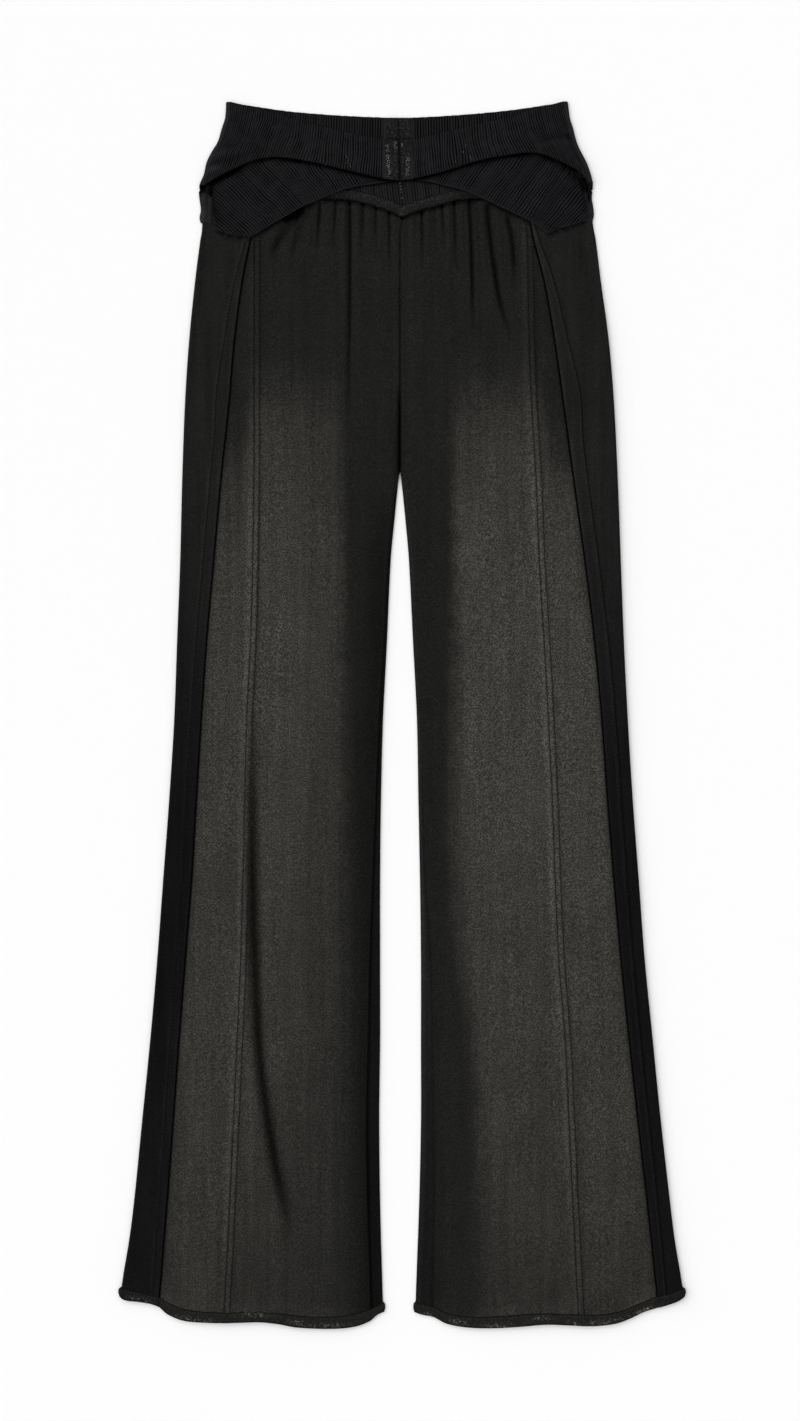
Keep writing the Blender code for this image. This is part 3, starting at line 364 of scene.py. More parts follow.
def innerLine(side, y):
    # where the front cloth ends: the middle seam, and the inseam below the crotch
    strip = lines[side]["strip"](np.minimum(y, crotch)) * ease(crotch - 6, crotch - 28, y)
    return blend(centre(side, y), innerEdge(side, y) + strip, ease(crotch, crotch - 1.5, y))


def levelHeight(level, top, hem):
    upper = crotch + (level - crotch) / (waistLevel - crotch) * (top - crotch)
    lower = hemStart - (hemStart - level) / (hemStart - hemLevel) * (hemStart - hem)
    return np.where(level > crotch, upper, np.where(level < hemStart, lower, level))


def settle(y, distanceAt, heightAt):
    # where a slanted line meets an edge that slants too: each is found from the other, by turns
    for _ in range(passes):
        d = distanceAt(y)
        y = heightAt(d)
    return d, y


def onLeg(line, level, top, hem):
    # where a line down the leg meets a level between its own top and hem
    return settle(np.array(level, float), line, lambda d: levelHeight(level, top(d), hem(d)))


def turned(angle, edge, reach, top, wall, outwards=1):
    # inner and outer (distance, height) round a fold whose inner face is this high on top
    half = (top - wall) / 2
    middle = edge - outwards * (wall + reach)
    over, rise = np.cos(np.radians(angle)), np.sin(np.radians(angle))
    inner = middle + outwards * reach * over, wall + half + half * rise
    outer = middle + outwards * (reach + wall) * over, wall + half + (half + wall) * rise
    return inner, outer


def roundFold(column, start):
    # the angle round a fold that takes one step of the columns, and which of them lie on it and past it
    return 90 - 180 * np.clip(column - start, 0, 1), (column > start) & (column < start + 1), column >= start + 1


def picked(onFold, past, fold, back, front):
    # a face's distance and height, by where it lies
    return [np.where(onFold, one, np.where(past, two, three)) for one, two, three in zip(fold, back, front)]


def faces(side, y, outer, inner, **maps):
    for key, (d, z) in (("outer", outer), ("inner", inner)):
        maps[key] = np.stack(np.broadcast_arrays(sides[side] * d, y, z), axis=-1)
    return maps


def stops(*runs):
    # places along one side of a grid: (from, to, steps) for each run
    parts = [np.linspace(runs[0][0], runs[0][1], runs[0][2] + 1)]
    parts += [np.linspace(start, end, count + 1)[1:] for start, end, count in runs[1:]]
    return np.concatenate(parts)


def downLeg(upper, hip, leg, hem):
    # levels from the waist to the hem, as closely as each stretch needs
    return stops((waistLevel, hipLevel, upper), (hipLevel, crotch, hip), (crotch, hemStart, leg),
                 (hemStart, hemLevel, hem))


def addPiece(name, mesh, material):
    mesh.materials.append(material)
    piece = bpy.data.objects.new(name, mesh)
    bpy.context.scene.collection.objects.link(piece)
    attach(piece, "root")
    return piece


def makeWall(name, columns, rows, shape, material, keep=None):
    # a closed wall of cloth: a grid, its outer face drawn out of it, then both faces shaped
    across, down = len(columns) - 1, len(rows) - 1
    i, j = np.meshgrid(np.arange(across + 1), np.arange(down + 1), indexing="ij")
    made = shape(columns[i], rows[j])
    inner, outer = made.pop("inner"), made.pop("outer")

    bm = bmesh.new()
    bmesh.ops.create_grid(bm, x_segments=across, y_segments=down, size=0.5)
    if keep:
        spare = []
        for face in bm.faces:
            middle = face.calc_center_median()
            if not keep(columns[int((middle.x + 0.5) * across)], rows[int((middle.y + 0.5) * down)]):
                spare.append(face)
        bmesh.ops.delete(bm, geom=spare, context="FACES")
    drawn = bmesh.ops.extrude_face_region(bm, geom=bm.faces[:], use_keep_orig=True)["geom"]
    bmesh.ops.translate(bm, vec=(0, 0, 1), verts=[item for item in drawn if isinstance(item, bmesh.types.BMVert)])
    flat = np.array([vert.co.to_tuple() for vert in bm.verts])
    at = np.rint((flat[:, 0] + 0.5) * across).astype(int), np.rint((flat[:, 1] + 0.5) * down).astype(int)
    outside = flat[:, 2:] > 0.5
    for vert, place in zip(bm.verts, np.where(outside, outer[at], inner[at]) * metres):
        vert.co = place
    bmesh.ops.recalc_face_normals(bm, faces=bm.faces[:])
    mesh = bpy.data.meshes.new(name)
    bm.to_mesh(mesh)
    bm.free()

    steps = np.linalg.norm(np.diff(outer, axis=0), axis=-1)
    runAcross = np.concatenate([np.zeros((1, down + 1)), np.cumsum(steps, axis=0)])[at]
    steps = np.linalg.norm(np.diff(outer, axis=1), axis=-1)
    runDown = np.concatenate([np.zeros((across + 1, 1)), np.cumsum(steps, axis=1)], axis=1)[at]
    corners = np.empty(len(mesh.loops), np.int32)
    mesh.loops.foreach_get("vertex_index", corners)
    uv = np.stack([runAcross, runDown], axis=1)[corners] * metres
    mesh.uv_layers.new(name="cloth").data.foreach_set("uv", uv.ravel())
    for key, value in made.items():
        values = np.broadcast_to(value, outer.shape[:2])[at].astype(np.float32)
        mesh.attributes.new(key, "FLOAT", "POINT").data.foreach_set("value", values)
    mesh.shade_smooth()
    mesh.set_sharp_from_angle(angle=sharpFrom)
    surfaces[name] = outer
    return addPiece(name, mesh, material)

print("front cloth")

frontCloth = {
    "edge": 3.1,          # outer height beside the seams
    "loft": 2.9,          # how far the lower legs stand above that
    "hipLoft": 1.5,
    "atYoke": 3.3,
    "swell": 0.3,         # slow unevenness of the laid cloth
    "seamRidge": 0.95, "seamSlope": 3.4,
    "stitchGroove": 0.4, "stitchOffset": 2.7,
    "lapAllowance": 8.0,
}

# What differs between the legs: width of the middle seam's painted shade, painted shade beside the inseam, dye and
# painted shade by the inner edge, width of the painted shade under the trim, painted highlight on the inner fold,
# painted shade and tone (dye and painted shade) of the strip behind it and how they change low down, and how much
# paler the side cloth gets near the hem.
innerLooks = {
    "right": {"middle": 2.7, "beside": 0.95, "dyed": 0.75, "rim": 1.9, "glow": 0.5, "strip": 0.9, "stripLow": 0.2,
              "tone": 1.0, "toneLow": 0.0, "sideLow": 0.16},
    "left": {"middle": 1.0, "beside": 0.4, "dyed": 0.2, "rim": 2.5, "glow": 1.3, "strip": 0.35, "stripLow": 0.0,
             "tone": 0.3, "toneLow": 0.4, "sideLow": 0.05},
}

# Gathers under the yoke: d at the top, drift outwards, reach down, half width, rise, dark (painted shade in the
# valley).
gathers = {
    "right": (
        (86.2, 5, 75, 3.4, 0.7, 0), (78.1, 4, 65, 2.2, -0.9, 0.5), (69.6, 3, 60, 3.0, 0.6, 0),
        (63.3, 3, 58, 2.0, -0.8, 0.5), (56.3, 1, 110, 2.6, 0.9, 0), (42.0, 0, 70, 2.6, 0.7, 0),
        (37.3, 1, 50, 1.8, -0.6, 0.4), (31.6, 0, 65, 2.4, 0.6, 0), (25.1, 0, 60, 1.8, -0.7, 0.4),
        (18.8, -1, 48, 2.2, 0.6, 0), (12.6, -1, 75, 1.8, -0.8, 0.45), (7.2, -2, 55, 2.0, 0.9, 0),
        (97.0, 8, 60, 3.0, -0.4, 0.2), (118.0, 8, 90, 4.0, 0.5, 0),
    ),
    "left": (
        (9.6, 1, 60, 2.4, 0.8, 0), (18.5, 1, 80, 1.9, -0.9, 0.5), (24.9, 1, 55, 2.2, 0.6, 0),
        (30.0, 2, 50, 1.6, -0.4, 0.2), (37.7, 3, 60, 1.8, -0.6, 0.4), (43.4, 2, 110, 2.6, 0.9, 0),
        (49.2, 3, 85, 1.9, -0.8, 0.5), (56.1, 2, 70, 2.4, 0.7, 0), (68.2, 5, 100, 2.6, 0.8, 0),
        (75.8, 5, 95, 2.2, 0.6, 0), (89.8, 9, 120, 3.2, 0.8, 0), (110.6, 12, 90, 3.6, 0.6, 0),
    ),
}

# Troughs and ridges of the front, as crease() takes them, with painted shade in their valleys.
frontCreases = [crease(*row) for row in (
    # slanting folds beside the gathers
    (((-97, 478), (-108, 463), (-121, 446), (-128, 432)), 3.4, -0.9, (3, 18), 0.5),
    (((-86, 484), (-94, 468), (-102, 449), (-108, 425)), 2.8, -0.7, (2, 22), 0.4),
    # the shade under the flaps' free edges, and under the piping
    (((-81.9, 487.6), (-95.2, 481.9), (-108.5, 474.3), (-121.8, 466.7), (-135.1, 458.5), (-143.7, 453.4)), 2.6, 0,
     (2, 1), 0.95, 1, 0.5),
    (((81.5, 487.6), (101.4, 478.1), (121.4, 468.6), (130.0, 462.8), (139.0, 456.6)), 2.6, 0, (2, 1), 0.95, 0.5),
    # the long trough that leaves the princess seam of the wearer's right leg
    (((-138.4, 110), (-139.4, 60), (-141, 14), (-141.8, -50), (-142.3, -118), (-141.8, -180), (-140.3, -232),
     (-138.2, -282), (-135.1, -327), (-130.2, -367), (-124.9, -402), (-118.8, -436), (-112.4, -465), (-107, -492),
     (-103, -520)), 5.8, -2.4, (280, 90), 1.08, 0.85, 1.0),
    (((-114, 469), (-104, 474.5), (-91, 481)), 3.8, 0, (5, 5), 1.1),
    (((-147, 60), (-149, -60), (-150.5, -180), (-149.5, -275), (-141, -350), (-128, -440)), 5.0, 1.2, (120, 110)),
    (((-124, -60), (-126, -180), (-123, -290), (-112, -390), (-98, -470)), 11.0, 1.0, (110, 120)),
    # the pleat beside the middle of the same leg's top, and its ridge
    (((-49.6, 489), (-49.2, 440), (-49.6, 380), (-50.5, 310), (-51.5, 233)), 1.9, -1.7, (3, 170), 1.0, 1.5, 0.8),
    (((-54.2, 487), (-54.0, 430), (-54.8, 370), (-56.0, 300)), 3.0, 0.9, (6, 140)),
    (((-108.5, 474), (-114.5, 459), (-121.8, 442), (-127, 424)), 3.4, -0.7, (6, 20), 0.3),
    (((-100, 474), (-106, 440), (-108, 400), (-107, 350)), 5.0, 0.7, (10, 60)),
    (((-30, 420), (-27, 350), (-26, 270)), 5.5, 0.6, (50, 60)),
    (((-82, 350), (-84, 250), (-80, 120)), 9.0, -0.7, (60, 90)),
    (((-66, 90), (-74, -60), (-78, -220), (-74, -380)), 10.0, 0.8, (90, 90)),
    (((-46, 30), (-52, -140), (-54, -330), (-58, -500)), 8.0, -0.8, (90, 60)),
    (((-98, -250), (-92, -380), (-84, -540)), 8.0, -0.7, (80, 40)),
    (((-176, -150), (-183, -300), (-192, -480)), 9.0, 0.7, (80, 80)),
    (((-196, -260), (-204, -400), (-210, -540)), 5.0, -0.6, (70, 40)),
    # the wearer's left leg
    (((63.1, 489), (65.3, 446.6), (66.5, 400), (67.5, 350)), 2.2, -1.6, (4, 70), 1.1, 0.9, 1.5),
    (((80.2, 487), (84.3, 445), (92.4, 394), (101.9, 363), (108, 340)), 2.6, -1.7, (4, 70), 1.1, 0.9, 1.4),
    (((99.3, 476), (103.8, 455), (106.2, 432), (107, 400)), 2.4, -1.5, (4, 40), 1.0),
    (((46.3, 436), (48.5, 380), (50.1, 300)), 4.5, -0.6, (30, 50), 0.15),
    (((20, 430), (17, 350), (15, 262)), 5.0, 0.7, (50, 60)),
    (((84, 300), (78, 180), (76, 60)), 9.0, 0.8, (80, 80)),
    (((97, 180), (92, 30), (88, -120)), 7.0, -0.6, (80, 80)),
    (((60, -20), (64, -190), (74, -360), (80, -520)), 9.0, -0.9, (100, 60)),
    (((100, -120), (108, -290), (116, -500)), 13.0, 0.9, (100, 80)),
    (((43, -80), (46, -260), (47, -430)), 7.0, 0.6, (90, 80)),
    (((135, -160), (143, -320), (152, -500)), 6.0, -0.6, (90, 60)),
    (((178, -160), (186, -330), (196, -520)), 9.0, 0.7, (90, 60)),
    (((206, -300), (214, -420), (222, -540)), 5.0, -0.5, (70, 30)),
)]
for side, rows in gathers.items():
    for d, drift, reach, width, rise, dark in rows:
        path = [(sides[side] * (d + drift * at), 489 - reach * at) for at in (0, 0.35, 0.7, 1)]
        frontCreases.append(crease(path, width * 0.78, rise * 1.9, (3, reach * 0.75), dark * 1.9))
    # painted shade along the piping's low edge
    rim = [(sides[side] * d, y - 5.4 * np.hypot(1, slope)) for (d, y), slope in zip(
        yokeSeam[side][:7], (0.45, 0.42, 0.32, 0.24, 0.12, 0.02, 0.0))]
    frontCreases.append(crease(rim, innerLooks[side]["rim"], 0, (0.5, 6), 1.1))

# How light the washed front is, down the leg, and where it starts beside the inner leg.
washDown = softLine([
    (-584, 0.30), (-527, 0.38), (-461, 0.52), (-385, 0.68), (-309, 0.76), (-233, 0.79), (-157, 0.85),
    (-81, 0.93), (-5, 1.0), (109, 1.0), (185, 0.9), (214, 0.8), (242, 0.7), (271, 0.58), (299, 0.33),
    (328, 0.1), (366, 0.0), (420, 0.0),
])
washInner = {
    "right": softLine([(-560, 58), (-400, 56), (-200, 57), (0, 57), (200, 57), (330, 57)]),
    "left": softLine([(-560, 78), (-400, 72.5), (-310, 66.5), (-232, 56.5), (-157, 51), (-80, 49.5), (0, 51.5),
                      (71, 51.5), (147, 50.5), (330, 49)]),
}
washSoft = {"right": softLine([(-560, 20), (-300, 13), (0, 10), (330, 8)]),
            "left": softLine([(-560, 17), (-300, 13), (-157, 14), (0, 13.5), (71, 11.5), (147, 8), (330, 8)])}
washForm = {
    "lag": 60.0,          # the outer panel is washed from this much lower down
    "waver": 7.0, "edgeWaver": 1.6,
    "start": {"right": 0.62, "left": 0.86},  # beside the inner leg
    "leftRise": 30.0, "rightLow": 0.72, "rightAll": 0.94, "rightPast": 0.88,
    "byLap": 0.78,
}


def frontTop(side, d, y):
    # height of the front's outer face, and the painted shade of its valleys and seams
    leg, form, looks = lines[side], frontCloth, innerLooks[side]
    lap, inner = leg["lap"](y), innerLine(side, y)
    across = np.clip((d - inner) / (lap - inner), 0, 1)
    loft = blend(form["loft"], form["hipLoft"], ease(250, 430, y))
    height = form["edge"] + loft * np.sin(pi * across) ** 0.55
    height = blend(height, form["atYoke"], ease(432, 470, y))
    x = sides[side] * d
    rise, deep = creased(x, y, frontCreases)
    rise = rise + form["swell"] * rippled(x, y * 0.35, 42, 5) * ease(470, 430, y)
    rise *= ease(0, 0.07, across) * ease(1, 0.94, across)
    height = height + rise * ease(492, 484, y - (leg["yoke"](d) - 490))
    seam, offset = np.abs(d - leg["princess"](y)), form["stitchOffset"]
    height += form["seamRidge"] * ease(offset + form["seamSlope"], offset, seam)
    height -= form["stitchGroove"] * hump((seam - offset) / 0.75)
    middle = np.abs(d - centre(side, y)) + 40 * ease(crotch - 4, crotch - 20, y)
    height -= 0.5 * hump(middle / 0.9) - 0.35 * hump((middle - 3.2) / 1.8)
    # the cloth rises over the start of the inseam, and painted shade lies along its seams
    start = ease(crotch - 26, crotch - 6, y) * ease(crotch + 30, crotch + 4, y)
    height += 0.6 * start * ease(inner + 14, inner + 4, d)
    gap = d - centre(side, y)
    thin = 0.5 * hump(gap / 1.1) * ease(crotch - 1, crotch + 1, y)
    wide = hump(gap / looks["middle"]) * ease(crotch + 90, crotch + 62, y)
    wide *= 1.25 * ease(crotch - 4, crotch, y)
    beside = hump((d - inner - 0.2) / 1.3) * ease(crotch - 90, crotch - 330, y)
    beside *= looks["beside"]
    return height, np.maximum(deep, np.maximum(np.maximum(thin, wide), beside))


def washAt(side, d, y):
    leg, form, x = lines[side], washForm, sides[side] * d
    seam = leg["princess"](y)
    down = washDown(y + form["lag"] * ease(0, 18, d - seam) + form["waver"] * rippled(x, y, 30, 3))
    bound, soft = washInner[side](y), washSoft[side](y)
    within = ease(bound - soft, bound + soft, d + form["edgeWaver"] * rippled(x, y, 22, 8))
    if side == "left":
        fall = blend(form["start"][side], 1.0, ease(bound, bound + form["leftRise"], d))
    else:
        fall = blend(form["start"][side], 1.0, ease(bound, seam - 14, d))
        fall = fall * blend(1, form["rightLow"], ease(-60, -420, y) * ease(seam - 18, bound + 20, d))
        fall = form["rightAll"] * fall * blend(1, form["rightPast"], ease(0, 10, d - seam))
    fall = fall * blend(1, form["byLap"], ease(0.75, 1, (d - seam) / (leg["lap"](y) - seam)))
    return np.clip(down * within * fall, 0, 1)


def toneAt(side, d, y):
    # darkest beside the inner leg: the unwashed dye, with painted shade where the cloth rolls away, most of all on the
    # wearer's right leg; painted shade also by the middle seam above the crotch
    edge = ease(36, 8, d - innerEdge(side, y)) * ease(crotch + 20, crotch - 90, y)
    middle = hump((d - centre(side, y)) / 7) * ease(crotch + 100, crotch + 30, y)
    dyed = innerLooks[side]["dyed"]
    return np.maximum(edge * dyed + 0.38 * ease(-330, -470, y) * ease(40, 20, d), middle * dyed)


def paintedLightAt(side, d, y):
    # painted highlight along the raised seams, most on the side the light comes from, and on the inner fold of the
    # wearer's left leg; the cloth is also lighter in patches just above the hem
    off = sides[side] * (d - lines[side]["princess"](y))
    patches = 0.85 + 0.2 * rippled(d * 2, y * 0.4, 14, 12)
    edge = 0.9 * hump((d - innerEdge(side, y) - 2.6) / 1.0) * (side == "left") * ease(crotch, crotch - 20, y)
    low = 0.55 * ease(16, 1, y - lines[side]["hemTop"](d)) * ease(-0.9, 0.3, rippled(d, y * 0.2, 60, 19))
    low = low * ease(34, 60, d) + 0.4 * hump((d - 196) / 20) * ease(-480, -545, y) * (side == "right")
    return (0.5 * hump(off / 1.7) + 0.65 * hump((off + 6.2) / 2.6)) * patches * ease(486, 470, y) + edge + low


def makeFront(name, side, material, lineAt, columns, levels):
    leg = lines[side]

    def shape(column, level):
        d, y = onLeg(lineAt(column), level, lambda d: leg["yoke"](d) - seamGap, leg["hemTop"])
        height, deep = frontTop(side, d, y)
        seam = d - leg["princess"](y)
        if side == "right":
            # painted shade along the inner sewn line of the princess seam on the wearer's right leg
            trough = hump((seam + frontCloth["stitchOffset"]) / 1.2) * ease(-260, -210, y) * ease(250, 205, y)
            deep = np.maximum(deep, 0.84 * trough)
        return faces(side, y, (d, height), (d, height - clothWall), wash=washAt(side, d, y), deep=deep,
                     tone=toneAt(side, d, y), worn=paintedLightAt(side, d, y), seam=seam, lap=leg["lap"](y) - d)

    return makeWall(f"{name}_{side}", columns, levels, shape, material)


def makeFrontPanel(side, material):
    def lineAt(share):
        return lambda y: blend(lines[side]["princess"](y) - seamGap, innerLine(side, y), share)

    columns = stops((0, 8, 12), (8, 128, 84), (128, 140, 14)) / 140
    return makeFront("frontPanel", side, material, lineAt, columns, downLeg(44, 36, 122, 32))


def makeFrontSidePanel(side, material):
    def lineAt(column):
        share, allowance = np.minimum(column, 1), np.maximum(column - 1, 0) * frontCloth["lapAllowance"]

        def line(y):
            princess = lines[side]["princess"](y)
            return blend(princess + seamGap, np.maximum(lines[side]["lap"](y), princess + 1), share) + allowance

        return line

    return makeFront("frontSidePanel", side, material, lineAt, stops((0, 0.2, 14), (0.2, 1, 26), (1, 2, 4)),
                     downLeg(24, 30, 110, 28))

print("side and back cloth")

sideCloth = {
    "lapTop": 5.0,        # outer height along the lap
    "foldTop": 5.5, "foldAtWaist": 2.7,  # inner height over the side fold
    "foldReach": 2.6, "foldRound": 10, "lapStrip": 12.0,
    "swell": 0.25, "lapRidge": 0.8,
    "backInset": 3.0, "hemProud": 2.6,
}

# How far the sewn line runs from the lap.
lapSewn = softLine([(-584, 6.0), (-420, 7.0), (-234, 8.0), (-100, 9.0), (256, 9.5), (305, 12.0), (354, 9.0),
                    (417, 6.0), (465, 2.5)])
sewnShare = {"right": 1.0, "left": 1.38}

# Creases of the side panels, as crease() takes them, with painted shade in their valleys.
sideCreases = [crease(*row) for row in (
    # the shade under the flaps' free edges
    (((-143.7, 453.4), (-155.1, 454.4), (-165.5, 455.5), (-175.4, 460.0)), 2.2, 0, (0.5, 1), 0.9),
    (((139.0, 456.6), (148.0, 461.0), (161.3, 464.5), (172.7, 468.2)), 2.2, 0, (0.5, 1), 0.9),
    (((-176, 430), (-184, 380), (-187, 310), (-188, 240)), 5.0, 0.7, (40, 60)),
    (((-186, 450), (-192, 400), (-197, 340)), 3.0, -0.6, (20, 40), 0.2),
    (((-160, 452), (-166, 425), (-172, 395)), 3.5, 0.5, (12, 20)),
    (((-197, 130), (-203, 0), (-209, -120), (-216, -240)), 5.0, 0.5, (60, 80)),
    (((-222, -180), (-232, -320), (-243, -470)), 4.5, -0.6, (70, 60)),
    (((148, 455), (160, 410), (168, 350), (176, 290)), 5.0, 0.7, (20, 60)),
    (((166, 462), (176, 420), (184, 370)), 3.2, -0.6, (20, 40), 0.2),
    (((186, 260), (192, 150), (197, 20)), 5.0, 0.4, (60, 70)),
    (((216, -120), (228, -280), (240, -420)), 4.5, -0.5, (70, 70)),
    (((226, -300), (240, -440), (251, -540)), 5.0, 0.5, (70, 50)),
)]

# The hidden back has its own: the floor is under it, so its troughs press upwards.
backCreases = [crease(*row) for row in (
    (((-150, 440), (-120, 400), (-84, 372), (-40, 352)), 5.0, 1.1, (30, 40)),
    (((-160, 410), (-128, 368), (-90, 338)), 4.0, 0.8, (20, 30)),
    (((-14, 300), (-34, 262), (-66, 232)), 4.5, 1.0, (10, 30)),
    (((-70, 180), (-76, 20), (-70, -160)), 6.0, 0.9, (60, 80)),
    (((-130, 90), (-142, -90), (-146, -270), (-138, -430)), 5.5, 1.2, (80, 90)),
    (((-96, -220), (-88, -380), (-80, -540)), 6.5, 1.0, (80, 20)),
    (((-190, -330), (-196, -440), (-204, -545)), 5.0, 0.8, (60, 20)),
    (((138, 446), (112, 410), (80, 388), (46, 376)), 4.5, 1.0, (20, 40)),
    (((150, 420), (122, 378), (96, 350), (60, 332)), 5.0, 0.9, (30, 40)),
    (((12, 310), (28, 268), (54, 240)), 4.5, 1.0, (10, 30)),
    (((66, 150), (72, -30), (84, -230)), 6.0, 1.0, (60, 90)),
    (((120, 200), (130, 40), (134, -120)), 5.0, 0.7, (70, 80)),
    (((110, -190), (120, -360), (132, -545)), 6.0, 1.1, (80, 20)),
    (((170, -270), (182, -400), (190, -530)), 5.0, 0.8, (60, 30)),
)]


def foldTop(y):
    return blend(sideCloth["foldTop"], sideCloth["foldAtWaist"], ease(360, 460, y))


def foldStart(side, y):
    return lines[side]["outer"](y) - clothWall - sideCloth["foldReach"]


def backSeam(side, y):
    return lines[side]["lap"](y) + sideCloth["backInset"]


def sideTopAt(side, d, y):
    # height of the side panel's outer face between its lap and its fold
    lap, x = lines[side]["lap"](y), sides[side] * d
    height = blend(sideCloth["lapTop"], foldTop(y) + clothWall, ease(lap + 6, foldStart(side, y), d))
    rise, deep = creased(x, y, sideCreases)
    rise = rise + sideCloth["swell"] * rippled(x, y * 0.3, 30, 9)
    rise *= ease(0, 8, d - lap) * ease(0, 5, foldStart(side, y) - d)
    height = height + rise
    sewnAt = lap + lapSewn(y) * sewnShare[side]
    height += sideCloth["lapRidge"] * (ease(sewnAt + 2.2, sewnAt, d) - 1)
    height -= 0.3 * hump((d - sewnAt) / 0.8) + 0.45 * hump((d - lap) / 0.7)
    return height, deep


def backFace(side, d, y):
    # height of the back's outer face over the floor
    return creased(sides[side] * d, y, backCreases)[0]


def sideTone(side, d, y):
    # the side cloth is as light as the front at the hips, and blacker down the leg
    return 0.25 + (0.75 - innerLooks[side]["sideLow"] * ease(-250, -420, y)) * ease(260, -120, y)


def sidePaintedLight(side, d, y):
    # painted highlight along the lap and along the sewn line beside it
    aside = d - lines[side]["lap"](y)
    line = aside - lapSewn(y) * sewnShare[side] + sides[side] * 1.6
    patches = 0.7 + 0.4 * rippled(d * 2, y * 0.3, 16, 13)
    return (0.7 * hump(line / 1.5) + 0.7 * hump((aside - 1.3) / 1.3)) * patches


def sideLine(side, column):
    def line(y):
        lap, start = lines[side]["lap"](y), foldStart(side, y)
        strip = sideCloth["lapStrip"]
        front = blend(lap + strip * np.minimum(column, 1), start, np.clip(column - 1, 0, 1))
        back = blend(start, backSeam(side, y) + seamGap, np.clip(column - 3, 0, 1))
        return np.where(column <= 2, front, back)

    return line


def makeSidePanel(side, material):
    # columns 0-1 beside the lap, 1-2 to the fold, 2-3 round it, 3-4 along the back
    leg = lines[side]
    columns = stops((0, 1, 16), (1, 2, 22), (2, 3, sideCloth["foldRound"]), (3, 4, 12))

    def shape(column, level):
        def top(d):
            return np.where(column < 2, leg["sideTop"](d), backTop[side])

        d, y = onLeg(sideLine(side, column), level, top, leg["hemTop"])
        angle, *where = roundFold(column, 2)
        inner, outer = turned(angle, leg["outer"](y), sideCloth["foldReach"], foldTop(y), clothWall)
        height, deep = sideTopAt(side, d, y)
        lift = backFace(side, d, y) * ease(3, 3.4, column)
        sewn = d - leg["lap"](y) - lapSewn(y) * sewnShare[side] + frontCloth["stitchOffset"]
        return faces(
            side, y, picked(*where, outer, (d, lift), (d, height)),
            picked(*where, inner, (d, lift + clothWall), (d, height - clothWall)),
            tone=sideTone(side, d, y), deep=np.where(column < 2, deep, 0), wash=0, lap=99,
            worn=sidePaintedLight(side, d, y) * (column < 2),
            seam=np.where(column < 3, np.maximum(sewn, 0.5), d - backSeam(side, y)))

    return makeWall(f"sidePanel_{side}", columns, downLeg(24, 34, 124, 32), shape, material)


innerFold = {"reach": 1.0, "top": 1.9, "topAtCrotch": 1.25, "round": 8, "bound": crotch - 1.5}


def innerTop(y):
    return blend(innerFold["topAtCrotch"], innerFold["top"], ease(crotch - 4, crotch - 26, y))


def makeBackPanel(side, material):
    # columns 0-1 along the floor, 1-2 round the inner fold, 2-3 up to the inseam
    leg, looks = lines[side], innerLooks[side]
    columns = stops((0, 1, 56), (1, 2, innerFold["round"]), (2, 3, 3))
    rows = stops((waistLevel, hipLevel, 22), (hipLevel, crotch, 32), (crotch, innerFold["bound"], 1),
                 (innerFold["bound"], hemStart, 110), (hemStart, hemLevel, 28))

    def shape(column, level):
        def line(y):
            start = backSeam(side, y) - seamGap
            inner = innerEdge(side, y) + clothWall + innerFold["reach"]
            end = blend(centre(side, y, centreBack), inner, ease(crotch, innerFold["bound"], y))
            seam = np.maximum(innerLine(side, np.minimum(y, crotch - 2)), inner) - seamGap
            return np.where(column <= 2, blend(start, end, np.minimum(column, 1)), blend(inner, seam, column - 2))

        d, y = onLeg(line, level, lambda d: backTop[side] + 0 * d, leg["hemTop"])
        angle, *where = roundFold(column, 1)
        edge, top, inseam = innerEdge(side, y), innerTop(y), innerLine(side, y)
        inner, outer = turned(-angle, edge, innerFold["reach"], top, clothWall, -1)
        seam = np.minimum(np.abs(d - backSeam(side, y)), np.abs(d - centre(side, y, centreBack)) + 40 * (y < crotch))
        lift = backFace(side, d, y) * ease(1, 0.93, column) + 0.35 * hump(seam / 0.9)
        onFold, onStrip = where
        outer = picked(*where, outer, (d, top + clothWall), (d, lift))
        inner = picked(*where, inner, (d, top), (d, lift + clothWall))
        # painted highlight on the inner fold and a light line along the strip; painted shade on the strip beside the
        # inseam, more low down; the tone darkens fold and strip: dye and painted shade
        glow = looks["glow"] * hump((outer[0] - edge - 2.2) / 1.0)
        shade = looks["strip"] * hump((inseam - d) / 1.1) * onStrip
        tone = looks["tone"] + looks["toneLow"] * ease(-250, -480, y)
        return faces(
            side, y, outer, inner, wash=0, lap=99,
            tone=np.where(onFold | onStrip, tone, 0.6),
            worn=glow * (onFold | onStrip) + 0.3 * hump((inseam - d - 4.5) / 2.2) * onStrip,
            deep=shade + looks["stripLow"] * ease(-340, -480, y) * (onFold | onStrip),
            seam=np.where(column < 0.5, d - backSeam(side, y), 40))

    def keep(column, level):
        return column < 1 or level <= innerFold["bound"]

    return makeWall(f"backPanel_{side}", columns, rows, shape, material, keep)


hemForm = {"gap": 0.1, "proudInner": 2.1, "lift": 0.25, "foldLift": 0.3}

# Clusters of painted glints, light flecks: how far out, half length, how far down the band.
hemFlecks = {
    "right": ((250, 9, 0.72), (199, 14, 0.78), (141, 13, 0.25), (101, 7, 0.6), (69, 16, 0.8)),
    "left": ((26, 4, 0.85), (54, 8, 0.6), (92, 17, 0.82), (133, 8, 0.4), (162, 5, 0.8), (192, 17, 0.7),
             (230, 12, 0.85)),
}


def hemY(side, panelD, hemD, share):
    top, low = lines[side]["hemTop"](panelD) - hemForm["gap"], lines[side]["hemLow"](hemD)
    return blend(top, low, share)


